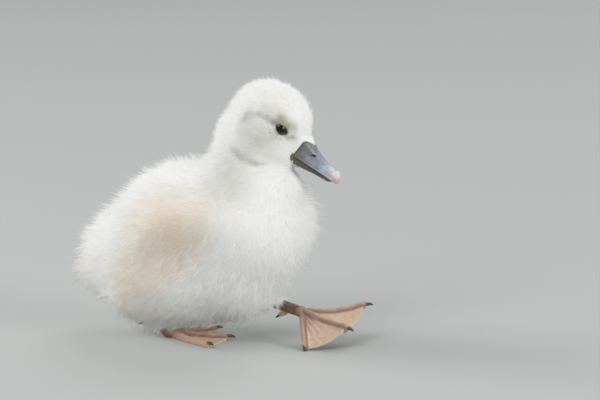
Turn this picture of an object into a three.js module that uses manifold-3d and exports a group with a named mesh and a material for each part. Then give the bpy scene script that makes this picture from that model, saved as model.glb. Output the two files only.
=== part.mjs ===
// A mute swan cygnet about a week old, life size, stepping forward on to its left foot with its head turned
// a little to the left and its bill held low. Every solid reaches to the tips of the down that covers it.
// Millimetres. The trunk faces +X, its left side is +Y, up is +Z, and the floor is z = 0.
import * as THREE from "three";
import { mergeVertices } from "three/addons/utils/BufferGeometryUtils.js";
import Module from "manifold-3d";

const wasm = await Module();
wasm.setup();

// ---------------------------------------------------------------- driving dimensions
const GAP = 0.35; // clear space between pieces that touch
const DEG = Math.PI / 180;

const HEAD_CENTRE = [39, 0, 118.2]; // middle of the braincase
const HEAD_YAW = 17; // degrees, towards the left side
const HEAD_PITCH = -38; // degrees, bill downwards
const EYE = { ahead: 8.9, side: 16, above: 4.9, radius: 4.1, stands: 1.1 };

const BILL_START = 15; // the bill's root, inside the face, ahead of the head's centre
const BILL_TIP = 49; // the nail's front edge
const MANDIBLE_TIP = 46.4;
const NAIL = { ahead: 47.8, radii: [5.4, 3.9, 4.6] };
const NOSTRIL = { ahead: 29.9, side: 4.9, above: 1.2, radii: [1.7, 0.9, 0.7] };

const STEP_FOOT = [51.3, 13, 15.4]; // root of the toes of the left foot
const STEP_HOCK = [25.5, 23.5, 17.2];
const STAND_FOOT = [-14, -9, 2.4]; // root of the toes of the right foot
const STAND_HOCK = [-32, -17, 23];
const STAND_BEARING = 10; // degrees, the right foot's middle toe from straight ahead
const SHANK = { hockEnd: 3.6, middle: 2.9, toeEnd: 2.9 };
const TOE = { root: 3.9, tip: 2.5 }; // a front toe's depth
const WEB_THICKNESS = 0.9;
const CLAW = { length: 4, radius: 0.95 };
const HIND_TOE_RADIUS = 1.3;

const HEAD_CUT = { point: [30, 0, 99], normal: [0.34, 0, 0.94] };
const NECK_CUT = { point: [3, 0, 94.2], normal: [0.246, 0, 0.969] };
const TAIL_CUT = { point: [-55.5, 0, 32], normal: [0.96, 0, 0.28] };
const WING_CUT = { centre: [4, 42, 66.5], radii: [26.6, 14, 13], pitch: 24 };
const THIGH_CUTS = [
  { side: "left", centre: [31, 19, 23], radii: [15, 12, 13], pitch: -40 },
  { side: "right", centre: [-28, -22, 20], radii: [15, 11, 13], pitch: 40 },
];

const TRUNK_CELL = 8.6; // sizes of the grid that each region's surface is found on
const NECK_CELL = 5.4;
const HEAD_CELL = 4;

const COLOURS = {
  down: 0xf1ece3,
  beige: 0xe6dad0,
  bill: 0x6c6c7a,
  nail: 0xb9a9a6,
  eye: 0x15100e,
  leg: 0x7c5b4b,
  foot: 0x96695a,
  claw: 0x4a3c36,
};

// ---------------------------------------------------------------- frames and fields
const at = ([x, y, z], pitch = 0, yaw = 0) =>
  new THREE.Matrix4().compose(
    new THREE.Vector3(x, y, z),
    new THREE.Quaternion().setFromEuler(new THREE.Euler(0, -pitch * DEG, yaw * DEG, "ZYX")),
    new THREE.Vector3(1, 1, 1),
  );

const HEAD_FRAME = at(HEAD_CENTRE, HEAD_PITCH, HEAD_YAW);

// A rounded volume: about how far a point lies outside the ellipsoid, in millimetres.
function ellipsoid(centre, radii, pitch = 0, yaw = 0, frame = new THREE.Matrix4()) {
  const inward = frame.clone().multiply(at(centre, pitch, yaw)).invert();
  const q = new THREE.Vector3();
  const [a, b, c] = radii;
  return (p) => {
    q.copy(p).applyMatrix4(inward);
    const near = Math.hypot(q.x / a, q.y / b, q.z / c);
    const slope = Math.hypot(q.x / (a * a), q.y / (b * b), q.z / (c * c));
    return slope < 1e-9 ? -Math.min(a, b, c) : (near * (near - 1)) / slope;
  };
}

// Two fields joined with a fillet about as wide as soft.
const blend = (a, b, soft) => {
  const h = Math.max(soft - Math.abs(a - b), 0) / soft;
  return Math.min(a, b) - (h * h * soft) / 4;
};
const join = (soft, fields) => (p) => fields.reduce((d, f) => blend(d, f(p), soft), 1e3);

const bothSides = (make) => [make(1), make(-1)];

// ---------------------------------------------------------------- the body's volumes
const trunkVolume = join(14, [
  ellipsoid([-6, 0, 45], [48, 38, 36.5], 17), // belly
  ellipsoid([-7, 0, 64], [34, 33, 28.5], 14), // back and shoulders
  ellipsoid([30.5, 0, 62], [32, 36, 32], 10), // breast
  ellipsoid([21, 0, 39], [23, 28, 26], 25), // under the breast
  ellipsoid([-40, 0, 41], [26, 26, 23.5], 24), // rump
  ...bothSides((s) => ellipsoid([-10, s * 20, 31], [25, 16, 18], 10)), // flanks, over the thighs
]);

const tailVolume = ellipsoid([-57, 0, 31], [12.5, 12, 7.5], 22);

const neckVolume = join(12, [
  ellipsoid([28, 0, 86], [22, 22, 20]), // root of the neck
  ellipsoid([28, 0, 101], [17, 17, 19], -8), // middle
  ellipsoid([29.5, 0, 112], [16, 16, 15]), // nape
]);

const headVolume = join(7, [
  ellipsoid([-2, 0, 1.6], [19.2, 18, 18.8], 0, 0, HEAD_FRAME), // braincase
  ellipsoid([8, 0, 6.2], [13.4, 14, 14.4], 0, 0, HEAD_FRAME), // forehead
  ellipsoid([13.5, 0, -2.5], [8.4, 8.6, 8], 0, 0, HEAD_FRAME), // face, up to the bill
  ellipsoid([19.5, 0, 4.2], [8.4, 3.6, 2.6], -14, 0, HEAD_FRAME), // wedge of down along the bill's ridge
  ellipsoid([15.5, 0, -8.5], [9, 7.5, 5], 0, 0, HEAD_FRAME), // chin
  ...bothSides((s) => ellipsoid([3, s * 7.5, -9], [14.5, 10, 10.5], 0, 0, HEAD_FRAME)), // cheeks
]);

const wingVolume = (s) => ellipsoid([3, s * 34.5, 66], [24, 5.5, 10.5], 24, s * -4);
const steppingShin = ellipsoid([27.5, 16, 29.5], [12, 11, 13.5], -35);
const standingShin = ellipsoid([-29, -19, 22], [9, 8, 11], 35);

const bodyVolume = (p) => {
  let d = blend(trunkVolume(p), neckVolume(p), 10);
  d = blend(d, tailVolume(p), 7);
  for (const side of bothSides((s) => wingVolume(s)(p))) d = blend(d, side, 5);
  d = blend(blend(d, steppingShin(p), 7), standingShin(p), 8);
  return blend(d, headVolume(p), 4);
};

// ---------------------------------------------------------------- surfaces
// One closed surface round what lies below zero inside a box: a vertex in each grid cell that the surface
// passes through, moved on to it, and a quad across each grid edge whose ends lie on its two sides.
function surfaceOf(volume, low, high, cell) {
  const inner = [low.map((v) => v + cell * 1.3), high.map((v) => v - cell * 1.3)];
  const field = (p) =>
    Math.max(volume(p), ...[p.x, p.y, p.z].map((v, k) => Math.max(inner[0][k] - v, v - inner[1][k])));
  const n = low.map((v, k) => Math.ceil((high[k] - v) / cell) + 1);
  const index = (i, j, k) => (k * n[1] + j) * n[0] + i;
  const spot = (i, j, k) => new THREE.Vector3(low[0] + i * cell, low[1] + j * cell, low[2] + k * cell);
  const value = new Float64Array(n[0] * n[1] * n[2]);
  for (let k = 0; k < n[2]; k++)
    for (let j = 0; j < n[1]; j++)
      for (let i = 0; i < n[0]; i++) value[index(i, j, k)] = field(spot(i, j, k));

  const corners = [0, 1, 2, 3, 4, 5, 6, 7].map((c) => [c & 1, (c >> 1) & 1, c >> 2]);
  const vertexOf = new Map();
  const vertices = [];
  for (let k = 0; k < n[2] - 1; k++)
    for (let j = 0; j < n[1] - 1; j++)
      for (let i = 0; i < n[0] - 1; i++) {
        const v = corners.map(([a, b, c]) => value[index(i + a, j + b, k + c)]);
        if (v.every((x) => x < 0) || v.every((x) => x >= 0)) continue;
        const sum = new THREE.Vector3();
        let crossings = 0;
        for (let a = 0; a < 8; a++)
          for (const bit of [1, 2, 4])
            if (!(a & bit) && v[a] < 0 !== v[a | bit] < 0) {
              const [p, q] = [corners[a], corners[a | bit]];
              const share = v[a] / (v[a] - v[a | bit]);
              sum.add(new THREE.Vector3(...p.map((x, m) => x + share * (q[m] - x))));
              crossings++;
            }
        const vertex = spot(i, j, k).addScaledVector(sum, cell / crossings);
        settle(vertex, field, cell);
        vertexOf.set(index(i, j, k), vertices.length);
        vertices.push(vertex);
      }

  const faces = [];
  const far = (a, b) => vertices[a].distanceToSquared(vertices[b]);
  for (let k = 1; k < n[2] - 1; k++)
    for (let j = 1; j < n[1] - 1; j++)
      for (let i = 1; i < n[0] - 1; i++)
        for (const [step, u, w] of [[[1, 0, 0], [0, 1, 0], [0, 0, 1]], [[0, 1, 0], [0, 0, 1], [1, 0, 0]], [[0, 0, 1], [1, 0, 0], [0, 1, 0]]]) {
          const here = value[index(i, j, k)] < 0;
          if (here === value[index(i + step[0], j + step[1], k + step[2])] < 0) continue;
          const [a, b, c, d] = [[0, 0], [1, 0], [1, 1], [0, 1]].map(([s, t]) =>
            vertexOf.get(index(i - s * u[0] - t * w[0], j - s * u[1] - t * w[1], k - s * u[2] - t * w[2])),
          );
          const quad = far(a, c) < far(b, d) ? [a, b, c, a, c, d] : [a, b, d, b, c, d];
          faces.push(...(here ? quad : quad.reverse()));
        }
  return meshOf(vertices, faces);
}

const meshOf = (points, faces) =>
  new THREE.BufferGeometry().setFromPoints(points).setIndex(faces);

// Moves a point on to the field's zero, by at most half a cell.
function settle(point, field, cell) {
  const start = point.clone();
  const d = cell * 0.05;
  for (let pass = 0; pass < 3; pass++) {
    const slope = new THREE.Vector3(
      ...[0, 1, 2].map((k) => {
        const [a, b] = [-d, d].map((s) => field(point.clone().setComponent(k, point.getComponent(k) + s)));
        return (b - a) / (2 * d);
      }),
    );
    point.addScaledVector(slope, -field(point) / Math.max(slope.lengthSq(), 0.05));
  }
  point.sub(start).clampLength(0, cell / 2).add(start);
  return point;
}

// A closed tube through rings of points, with flat ends.
function throughRings(rings) {
  const count = rings[0].length;
  const points = rings.flat();
  const faces = [];
  for (let r = 0; r < rings.length - 1; r++)
    for (let i = 0; i < count; i++) {
      const [a, b] = [r * count + i, r * count + ((i + 1) % count)];
      faces.push(a, b, b + count, a, b + count, a + count);
    }
  for (const [r, ahead] of [[0, false], [rings.length - 1, true]]) {
    const middle = rings[r].reduce((sum, p) => sum.add(p), new THREE.Vector3()).divideScalar(count);
    const hub = points.push(middle) - 1;
    for (let i = 0; i < count; i++) {
      const [a, b] = [r * count + i, r * count + ((i + 1) % count)];
      faces.push(...(ahead ? [a, b, hub] : [b, a, hub]));
    }
  }
  return meshOf(points, faces);
}

// A closed sheet between two grids of points, the rows of each running from the right to the left.
function sheet(over, under) {
  const [rows, columns] = [over.length, over[0].length];
  const points = [...over.flat(), ...under.flat()];
  const below = rows * columns;
  const id = (r, c) => r * columns + c;
  const faces = [];
  const quad = (a, b, c, d) => faces.push(a, b, c, a, c, d);
  for (let r = 0; r < rows - 1; r++)
    for (let c = 0; c < columns - 1; c++) {
      const [a, b, p, q] = [id(r, c), id(r + 1, c), id(r + 1, c + 1), id(r, c + 1)];
      quad(a, b, p, q);
      quad(q + below, p + below, b + below, a + below);
    }
  const rim = [
    ...Array.from({ length: rows - 1 }, (_, r) => id(r, 0)),
    ...Array.from({ length: columns - 1 }, (_, c) => id(rows - 1, c)),
    ...Array.from({ length: rows - 1 }, (_, r) => id(rows - 1 - r, columns - 1)),
    ...Array.from({ length: columns - 1 }, (_, c) => id(0, columns - 1 - c)),
  ];
  rim.forEach((a, i) => {
    const b = rim[(i + 1) % rim.length];
    quad(a, a + below, b + below, b);
  });
  return meshOf(points, faces);
}

// A ring across +X: side is its half width, and it reaches top above and bottom below its centre. A power
// over 2 makes it squarer.
function ring(centre, side, top, bottom, count, power = 2) {
  const round = (v) => Math.sign(v) * Math.abs(v) ** (2 / power);
  return Array.from({ length: count }, (_, i) => {
    const t = ((i + 0.5) / count) * 2 * Math.PI;
    const up = round(Math.sin(t));
    return new THREE.Vector3(0, round(Math.cos(t)) * side, up * (up > 0 ? top : bottom)).add(centre);
  });
}

// A smooth function through a few [x, value] pairs.
function through(pairs) {
  return (x) => {
    const last = pairs.length - 1;
    const i = Math.min(Math.max(pairs.findIndex((p) => p[0] > x) - 1, 0), last - 1);
    const k = x >= pairs[last][0] ? last - 1 : i;
    const slope = (m) => {
      const [a, b] = [pairs[Math.max(m - 1, 0)], pairs[Math.min(m + 1, last)]];
      return (b[1] - a[1]) / (b[0] - a[0]);
    };
    const [[x0, y0], [x1, y1]] = [pairs[k], pairs[k + 1]];
    const [w, t] = [x1 - x0, (x - x0) / (x1 - x0)];
    return (
      y0 * (2 * t ** 3 - 3 * t ** 2 + 1) +
      slope(k) * w * (t ** 3 - 2 * t ** 2 + t) +
      y1 * (3 * t ** 2 - 2 * t ** 3) +
      slope(k + 1) * w * (t ** 3 - t ** 2)
    );
  };
}

// ---------------------------------------------------------------- joins and cuts
function solid(geometry, frame = new THREE.Matrix4()) {
  const plain = geometry.clone().applyMatrix4(frame);
  plain.deleteAttribute("normal");
  plain.deleteAttribute("uv");
  const merged = mergeVertices(plain, 1e-4);
  return new wasm.Manifold(
    new wasm.Mesh({
      numProp: 3,
      vertProperties: merged.attributes.position.array,
      triVerts: new Uint32Array(merged.index.array),
    }),
  );
}

function geometryOf(made) {
  const mesh = made.getMesh();
  const points = Array.from({ length: mesh.numVert }, (_, i) =>
    new THREE.Vector3().fromArray(mesh.vertProperties, i * mesh.numProp),
  );
  const geometry = mergeVertices(meshOf(points, Array.from(mesh.triVerts)), 2e-3);
  const corner = geometry.index.array;
  const kept = [];
  for (let i = 0; i < corner.length; i += 3) {
    const [a, b, c] = corner.slice(i, i + 3);
    if (a !== b && b !== c && c !== a) kept.push(a, b, c);
  }
  geometry.setIndex(kept);
  geometry.computeVertexNormals();
  return geometry;
}

// Everything on the side of a plane that its normal points to, or on the other side.
function sideOf({ point, normal }, ahead = true) {
  const reach = 400;
  const way = new THREE.Vector3(...normal).normalize().multiplyScalar(ahead ? 1 : -1);
  const turn = new THREE.Quaternion().setFromUnitVectors(new THREE.Vector3(0, 0, 1), way);
  const centre = new THREE.Vector3(...point).addScaledVector(way, (GAP + reach) / 2);
  return solid(
    new THREE.BoxGeometry(reach, reach, reach),
    new THREE.Matrix4().compose(centre, turn, new THREE.Vector3(1, 1, 1)),
  );
}

function ball(centre, radii, { pitch = 0, yaw = 0, frame = new THREE.Matrix4(), grow = 0, count = 16 } = {}) {
  const round = new THREE.SphereGeometry(1, count, Math.round(count * 0.6)).scale(...radii.map((r) => r + grow));
  return solid(round, frame.clone().multiply(at(centre, pitch, yaw)));
}

const without = (whole, ...pieces) => pieces.reduce((rest, piece) => rest.subtract(piece), whole);

const ABOVE_FLOOR = sideOf({ point: [0, 0, -GAP / 2], normal: [0, 0, 1] });

// ---------------------------------------------------------------- bill
// Profiles along the bill, in the head's frame.
const culmen = through([[15, 7.2], [22, 6.2], [27.5, 4.9], [32.5, 3], [38, 1.8], [44, 1.6], [47.2, 0.9], [49, -1.4]]);
const mouthLine = through([[15, -5], [22, -5.6], [27, -5], [32, -4.5], [37, -3.9], [42, -3.2], [46, -3.1], [49, -3.4]]);
const billSide = through([[15, 7], [19.5, 7.5], [22, 6.9], [27, 6.2], [32, 5.8], [38, 5.6], [43, 6], [47, 5], [49, 2.6]]);
const keel = through([[15, -9.4], [22, -9.6], [29, -8.6], [36, -7], [43, -5.7], [46.4, -5]]);

function upperBill(grow = 0) {
  const steps = 10;
  const rings = Array.from({ length: steps + 1 }, (_, i) => {
    const x = THREE.MathUtils.lerp(BILL_START, BILL_TIP, i / steps);
    const middle = THREE.MathUtils.lerp(mouthLine(x), culmen(x), 0.35);
    const end = i === steps ? grow : i === 0 ? -grow : 0;
    const centre = new THREE.Vector3(x + end, 0, middle);
    const boxy = THREE.MathUtils.clamp((31 - x) / 9, 0, 1); // nearly square at the face, round at the tip
    return ring(centre, billSide(x) + grow, culmen(x) - middle + grow, middle - mouthLine(x) + grow, 14, 2.2 + 1.3 * boxy);
  });
  return solid(throughRings(rings), HEAD_FRAME);
}

function lowerBill(grow = 0) {
  const steps = 9;
  const rings = Array.from({ length: steps + 1 }, (_, i) => {
    const x = THREE.MathUtils.lerp(BILL_START, MANDIBLE_TIP, i / steps);
    const round = Math.sqrt(Math.max(1 - (i / steps) ** 8, 0.2));
    const end = i === steps ? grow : i === 0 ? -grow : 0;
    const centre = new THREE.Vector3(x + end, 0, mouthLine(x) - 0.3);
    const side = (billSide(x) - 0.7) * round;
    return ring(centre, side + grow, 1 + grow, mouthLine(x) - 0.3 - keel(x) + grow, 12, 2.4);
  });
  return solid(throughRings(rings), HEAD_FRAME);
}

const nail = (grow = 0) => ball([NAIL.ahead, 0, -1], NAIL.radii, { frame: HEAD_FRAME, grow, count: 14 });
const nostril = (s) =>
  ball([NOSTRIL.ahead, s * NOSTRIL.side, NOSTRIL.above], NOSTRIL.radii, { frame: HEAD_FRAME, pitch: -18, count: 8 });

// ---------------------------------------------------------------- eyes
// An eyeball whose front stands a little out of the down round it.
const eyeCentre = (s) => {
  const spot = new THREE.Vector3(EYE.ahead, s * EYE.side, EYE.above).applyMatrix4(HEAD_FRAME);
  settle(spot, headVolume, 12);
  const inward = new THREE.Vector3(...HEAD_CENTRE).sub(spot).normalize();
  return spot.addScaledVector(inward, EYE.radius - EYE.stands);
};
const eye = (s, grow = 0) => ball(eyeCentre(s).toArray(), [EYE.radius, EYE.radius, EYE.radius], { grow, count: 15 });

// ---------------------------------------------------------------- legs and feet
// A tube between two points, as deep as depth says along it and a little narrower across.
function tube(from, to, depth, grow = 0, count = 10, steps = 6) {
  const [a, b] = [from, to].map((p) => new THREE.Vector3(...p));
  const ahead = b.clone().sub(a).normalize();
  const left = new THREE.Vector3(0, 0, 1).cross(ahead).normalize();
  const frame = new THREE.Matrix4().makeBasis(ahead, left, ahead.clone().cross(left)).setPosition(a);
  const rings = Array.from({ length: steps + 1 }, (_, i) => {
    const t = i / steps;
    const end = i === steps ? grow : i === 0 ? -grow : 0;
    const r = depth(t) + grow;
    return ring(new THREE.Vector3(t * a.distanceTo(b) + end, 0, 0), r * 0.85, r, r, count);
  });
  return solid(throughRings(rings), frame);
}

const shankDepth = through([[0, SHANK.hockEnd], [0.35, SHANK.middle], [0.75, SHANK.middle], [1, SHANK.toeEnd]]);
const shank = (hock, root, grow = 0) => tube(hock, root, shankDepth, grow);

// The front toes are three, from the right of the foot to its left. Each is given by where its tip lies from
// the root of the toes, ahead, to the left and up, and by how far its middle sags. The web hangs between
// them. A foot with no sags lies flat on the floor.
function webbedFoot(root, tips, sags, hang) {
  const [across, along] = [12, 6];
  const turns = tips.map(([x, y]) => Math.atan2(y, x));
  const bearing = through(turns.map((v, i) => [i, v]));
  const length = through(tips.map(([x, y], i) => [i, Math.hypot(x, y)]));
  const rise = through(tips.map(([, , z], i) => [i, z]));
  const sag = sags && through(sags.map((v, i) => [i, v]));
  const over = [];
  const under = [];
  for (let a = 0; a <= along; a++) {
    const t = 0.1 + 0.9 * (a / along);
    const rows = [over, under].map((side) => side[side.push([]) - 1]);
    for (let c = 0; c <= across; c++) {
      const w = (c / across) * (tips.length - 1);
      const between = Math.abs(w - Math.round(w)) * 2; // 0 on a toe, 1 midway between two
      const web = Math.sin((Math.PI / 2) * between);
      const reach = length(w) * t * (1 - 0.03 * web * t ** 3);
      const spread = between * reach * 0.33;
      const knuckles = 1 + 0.1 * Math.cos(t * 19);
      const depth = THREE.MathUtils.lerp(TOE.root, TOE.tip, t) * knuckles;
      const ridge = Math.exp(-((spread / (depth * 0.5)) ** 2));
      const thick = WEB_THICKNESS + (depth - WEB_THICKNESS) * ridge;
      const raised = sag && root[2] + rise(w) * t - sag(w) * 4 * t * (1 - t) - web * hang * t ** 2;
      const z = sag ? raised : thick / 2 - 0.1;
      const [x, y] = [root[0] + reach * Math.cos(bearing(w)), root[1] + reach * Math.sin(bearing(w))];
      rows[0].push(new THREE.Vector3(x, y, z + thick / 2));
      rows[1].push(new THREE.Vector3(x, y, z - thick / 2));
    }
  }
  return solid(sheet(over, under));
}

// A claw that goes on from a toe's tip, pointing away from its root.
function claw(root, tip, size = 1) {
  const ahead = new THREE.Vector3(...tip).sub(new THREE.Vector3(...root)).normalize();
  const left = new THREE.Vector3(0, 0, 1).cross(ahead).normalize();
  const frame = new THREE.Matrix4().makeBasis(ahead, left, ahead.clone().cross(left));
  frame.setPosition(new THREE.Vector3(...tip).addScaledVector(ahead, 2 * GAP));
  const rings = Array.from({ length: 4 }, (_, i) => {
    const t = i / 3;
    const r = CLAW.radius * (1 - 0.75 * t) * size;
    return ring(new THREE.Vector3(CLAW.length * t * size, 0, -0.8 * t * t), r * 0.8, r, r, 6);
  });
  return solid(throughRings(rings), frame);
}

// ---------------------------------------------------------------- the pieces
const object = new THREE.Group();
object.name = "mute_swan_cygnet";
const bird = new THREE.Group();
bird.name = "cygnet";
object.add(bird);
function add(name, made, colour) {
  const mesh = new THREE.Mesh(geometryOf(made), new THREE.MeshStandardMaterial({ color: colour, roughness: 0.8 }));
  mesh.name = name;
  bird.add(mesh);
}

// Bill.
const sockets = bothSides((s) => eye(s, GAP));
const billUpper = without(upperBill(), lowerBill(GAP), nostril(1), nostril(-1));
add("bill_upper", without(billUpper, nail(GAP)), COLOURS.bill);
add("bill_nail", billUpper.intersect(nail()), COLOURS.nail);
add("bill_lower", lowerBill(), COLOURS.bill);

// Head and neck.
const headBlock = solid(surfaceOf(bodyVolume, [6, -32, 84], [78, 32, 145], HEAD_CELL));
add("head", without(headBlock.intersect(sideOf(HEAD_CUT)), upperBill(GAP), lowerBill(GAP), ...sockets), COLOURS.down);
bothSides((s) => add(s > 0 ? "eye_left" : "eye_right", eye(s), COLOURS.eye));
const neckBlock = solid(surfaceOf(bodyVolume, [-24, -48, 66], [78, 48, 128], NECK_CELL));
add("neck", neckBlock.intersect(sideOf(NECK_CUT)).intersect(sideOf(HEAD_CUT, false)), COLOURS.down);

// Trunk, with the tail, the wings and the downy part of each leg parted from it.
let trunk = solid(surfaceOf(bodyVolume, [-82, -56, -8], [76, 56, 112], TRUNK_CELL)).intersect(sideOf(NECK_CUT, false));
add("tail", trunk.intersect(sideOf(TAIL_CUT, false)), COLOURS.down);
trunk = trunk.intersect(sideOf(TAIL_CUT));

bothSides((s) => {
  const { centre: [x, y, z], radii, pitch } = WING_CUT;
  const cutter = (grow) => ball([x, s * y, z], radii, { pitch, grow, count: 18 });
  add(s > 0 ? "wing_left" : "wing_right", trunk.intersect(cutter(0)), COLOURS.beige);
  trunk = trunk.subtract(cutter(GAP));
});

// Legs. Each foot's tips are listed from its right to its left.
const turned = (bearing, length) => [length * Math.cos(bearing * DEG), length * Math.sin(bearing * DEG), 0];
const LEGS = {
  left: {
    hock: STEP_HOCK,
    root: STEP_FOOT,
    toes: { inner: [11.6, -19.4, -14.45], middle: [30, -7.2, -4.4], outer: [31, 12.8, 4] },
    sags: [0, 0.6, 2.4],
    hang: 2.6,
    hind: [-6, 1.5, -3.5],
  },
  right: {
    hock: STAND_HOCK,
    root: STAND_FOOT,
    toes: { outer: turned(STAND_BEARING - 34, 32), middle: turned(STAND_BEARING, 32), inner: turned(STAND_BEARING + 38, 26.5) },
    hind: [-6.5, -1, -0.2],
  },
};
for (const { side, centre, radii, pitch } of THIGH_CUTS) {
  const { hock, root, toes, sags, hang, hind } = LEGS[side];
  const web = webbedFoot(root, Object.values(toes), sags, hang);
  const knuckle = (grow = 0) => ball(root, [3, 2.9, 2.6], { grow, count: 10 });
  const tips = Object.fromEntries(Object.entries(toes).map(([k, v]) => [k, v.map((d, m) => root[m] + d)]));
  const heel = root.map((v, m) => v + (hock[m] - v) * 0.22 + hind[m] * 0.3);
  const hindTip = heel.map((v, m) => v + hind[m]);
  const hindDepth = through([[0, HIND_TOE_RADIUS], [0.5, HIND_TOE_RADIUS * 0.95], [1, HIND_TOE_RADIUS * 0.75]]);
  const hindToe = (grow = 0) => tube(heel, hindTip, hindDepth, grow, 8, 4);

  const foot = web.add(knuckle()).intersect(ABOVE_FLOOR);
  add(`foot_${side}`, foot, COLOURS.foot);
  for (const [toe, tip] of Object.entries(tips))
    add(`claw_${side}_${toe}`, claw(root, tip).intersect(ABOVE_FLOOR), COLOURS.claw);

  const ankle = root.map((v, m) => v + (hock[m] - v) * 0.07);
  add(`shank_${side}`, without(shank(hock, ankle), knuckle(GAP)), COLOURS.leg);
  add(`hind_toe_${side}`, without(hindToe(), shank(hock, root, GAP)), COLOURS.foot);
  add(`claw_${side}_hind`, claw(heel, hindTip, 0.75), COLOURS.claw);

  const cutter = (grow = 0) => ball(centre, radii, { pitch, grow });
  const clear = [shank(hock, root, GAP), hindToe(GAP)];
  add(`thigh_${side}`, without(trunk.intersect(cutter()), ...clear), COLOURS.down);
  trunk = without(trunk, cutter(GAP), ...clear);
}
add("trunk", trunk, COLOURS.down);

// Centred over the floor.
const box = new THREE.Box3().setFromObject(bird);
const middle = box.getCenter(new THREE.Vector3());
bird.position.set(-middle.x, -middle.y, -box.min.z);
object.updateMatrixWorld(true);

export default object;
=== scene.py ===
# %% [markdown]
# # A mute swan cygnet, life size
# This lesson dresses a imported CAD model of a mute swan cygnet. It is about a week old and sits back on one
# foot while the other, webbed and still much too large for it, steps out in front.
# The CAD solids already hold its size, its pose and its outline out to the tips of the down. What they lack is
# everything you would touch: skin, down, horn, lids, scales. We make those here, one after another, and take
# every position from the solids, so that nothing has to be fitted by eye.

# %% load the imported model
import functools
import math

import bmesh
import bpy
import numpy as np
from mathutils import Matrix, Quaternion, Vector, noise
from mathutils.bvhtree import BVHTree
from mathutils.kdtree import KDTree


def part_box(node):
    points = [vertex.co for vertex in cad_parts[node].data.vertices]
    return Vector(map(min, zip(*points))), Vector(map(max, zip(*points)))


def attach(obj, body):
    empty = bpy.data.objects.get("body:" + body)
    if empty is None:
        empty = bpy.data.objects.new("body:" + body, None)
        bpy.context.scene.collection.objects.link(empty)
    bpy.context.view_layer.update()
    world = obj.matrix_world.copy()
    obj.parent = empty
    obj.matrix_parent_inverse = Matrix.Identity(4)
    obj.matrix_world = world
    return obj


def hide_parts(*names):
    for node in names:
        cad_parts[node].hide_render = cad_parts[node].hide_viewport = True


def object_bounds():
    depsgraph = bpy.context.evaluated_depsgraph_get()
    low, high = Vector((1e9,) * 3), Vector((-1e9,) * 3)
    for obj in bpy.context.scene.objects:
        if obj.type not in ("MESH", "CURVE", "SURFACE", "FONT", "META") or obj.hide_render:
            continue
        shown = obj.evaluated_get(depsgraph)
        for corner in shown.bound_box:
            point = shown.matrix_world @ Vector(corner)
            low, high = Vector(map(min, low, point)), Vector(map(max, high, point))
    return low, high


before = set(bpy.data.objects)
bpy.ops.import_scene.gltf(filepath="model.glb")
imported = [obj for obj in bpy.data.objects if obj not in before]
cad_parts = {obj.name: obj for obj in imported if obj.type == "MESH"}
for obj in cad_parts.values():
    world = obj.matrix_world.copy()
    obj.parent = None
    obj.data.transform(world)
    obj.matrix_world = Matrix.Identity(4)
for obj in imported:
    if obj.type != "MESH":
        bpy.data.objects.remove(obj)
MM = 0.001
cad_low, cad_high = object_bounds()
size = cad_high - cad_low
print("nodes:", len(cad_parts), "size in mm:", [round(v / MM, 1) for v in size])

# %% [markdown]
# ## The camera
# The swan is looked at from its right side, a little from the front and a little from above. A long lens far
# away keeps the near foot from looking larger than it is, as a wildlife lens would. The swan stands left of
# the middle, so the camera aims at a point ahead of it, which we give as shares of its length.

# %% camera
AZIMUTH, ELEVATION = math.radians(25), math.radians(12)
DISTANCE, LENS, FAR = 2.6, 300, 30
AIM_AHEAD, AIM_UP = 0.2816, 0.4604  # of the swan's length
right = Vector((math.cos(AZIMUTH), math.sin(AZIMUTH), 0))
forward = Vector(
    (-math.sin(AZIMUTH) * math.cos(ELEVATION), math.cos(AZIMUTH) * math.cos(ELEVATION), -math.sin(ELEVATION))
)
target = right * AIM_AHEAD * size.x + right.cross(forward) * AIM_UP * size.x

camera = bpy.data.objects.new("camera", bpy.data.cameras.new("camera"))
camera.data.lens = LENS
camera.data.clip_end = FAR
camera.location = target - forward * DISTANCE
camera.rotation_euler = forward.to_track_quat("-Z", "Y").to_euler()
bpy.context.collection.objects.link(camera)
bpy.context.scene.camera = camera
print("camera at", [round(v, 3) for v in camera.location])

# %% [markdown]
# ## Floor and light
# White down only reads as white when the light on it is broad and the ground is a shade darker. One large
# softbox hangs above the camera, others stand ahead of the bird and behind its tail, one on the far side lights
# up the fringe of the down, and a pale sky colour fills the rest. The plain view transform keeps whites white.


# %% floor and studio light
def srgb(red, green, blue):
    """A colour given as 0..255 values of a screen, as the linear colour that shaders use."""
    linear = [((v / 255 + 0.055) / 1.055) ** 2.4 if v > 10 else v / 3294.6 for v in (red, green, blue)]
    return (*linear, 1.0)


def add(tree, kind, inputs=None, **settings):
    """A shader node with its settings, and its inputs as values or as the sockets that feed them."""
    made = tree.nodes.new(kind)
    for key, value in settings.items():
        setattr(made, key, value)
    for key, value in (inputs or {}).items():
        if isinstance(value, bpy.types.NodeSocket):
            tree.links.new(value, made.inputs[key])
        else:
            made.inputs[key].default_value = value
    return made


def new_material(name, **settings):
    """A material with its Principled shader; the settings are constants on the shader's own sockets."""
    material = bpy.data.materials.new(name)
    material.use_nodes = True
    shader = material.node_tree.nodes["Principled BSDF"]
    for key, value in settings.items():
        shader.inputs[key.replace("_", " ")].default_value = value
    return material, material.node_tree, shader


def softbox(name, place, width, watts):
    """A round soft lamp that points at the middle of the swan."""
    light = bpy.data.objects.new(name, bpy.data.lights.new(name, "AREA"))
    light.data.shape, light.data.size, light.data.energy = "DISK", width, watts
    light.location = place
    light.rotation_euler = (Vector((0, 0, size.z / 2)) - light.location).to_track_quat("-Z", "Y").to_euler()
    bpy.context.collection.objects.link(light)


FLOOR_WIDTH, FLOOR_GREY = 14, srgb(180, 182, 179)
SKY, SKY_STRENGTH = srgb(236, 240, 244), 0.4
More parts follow.
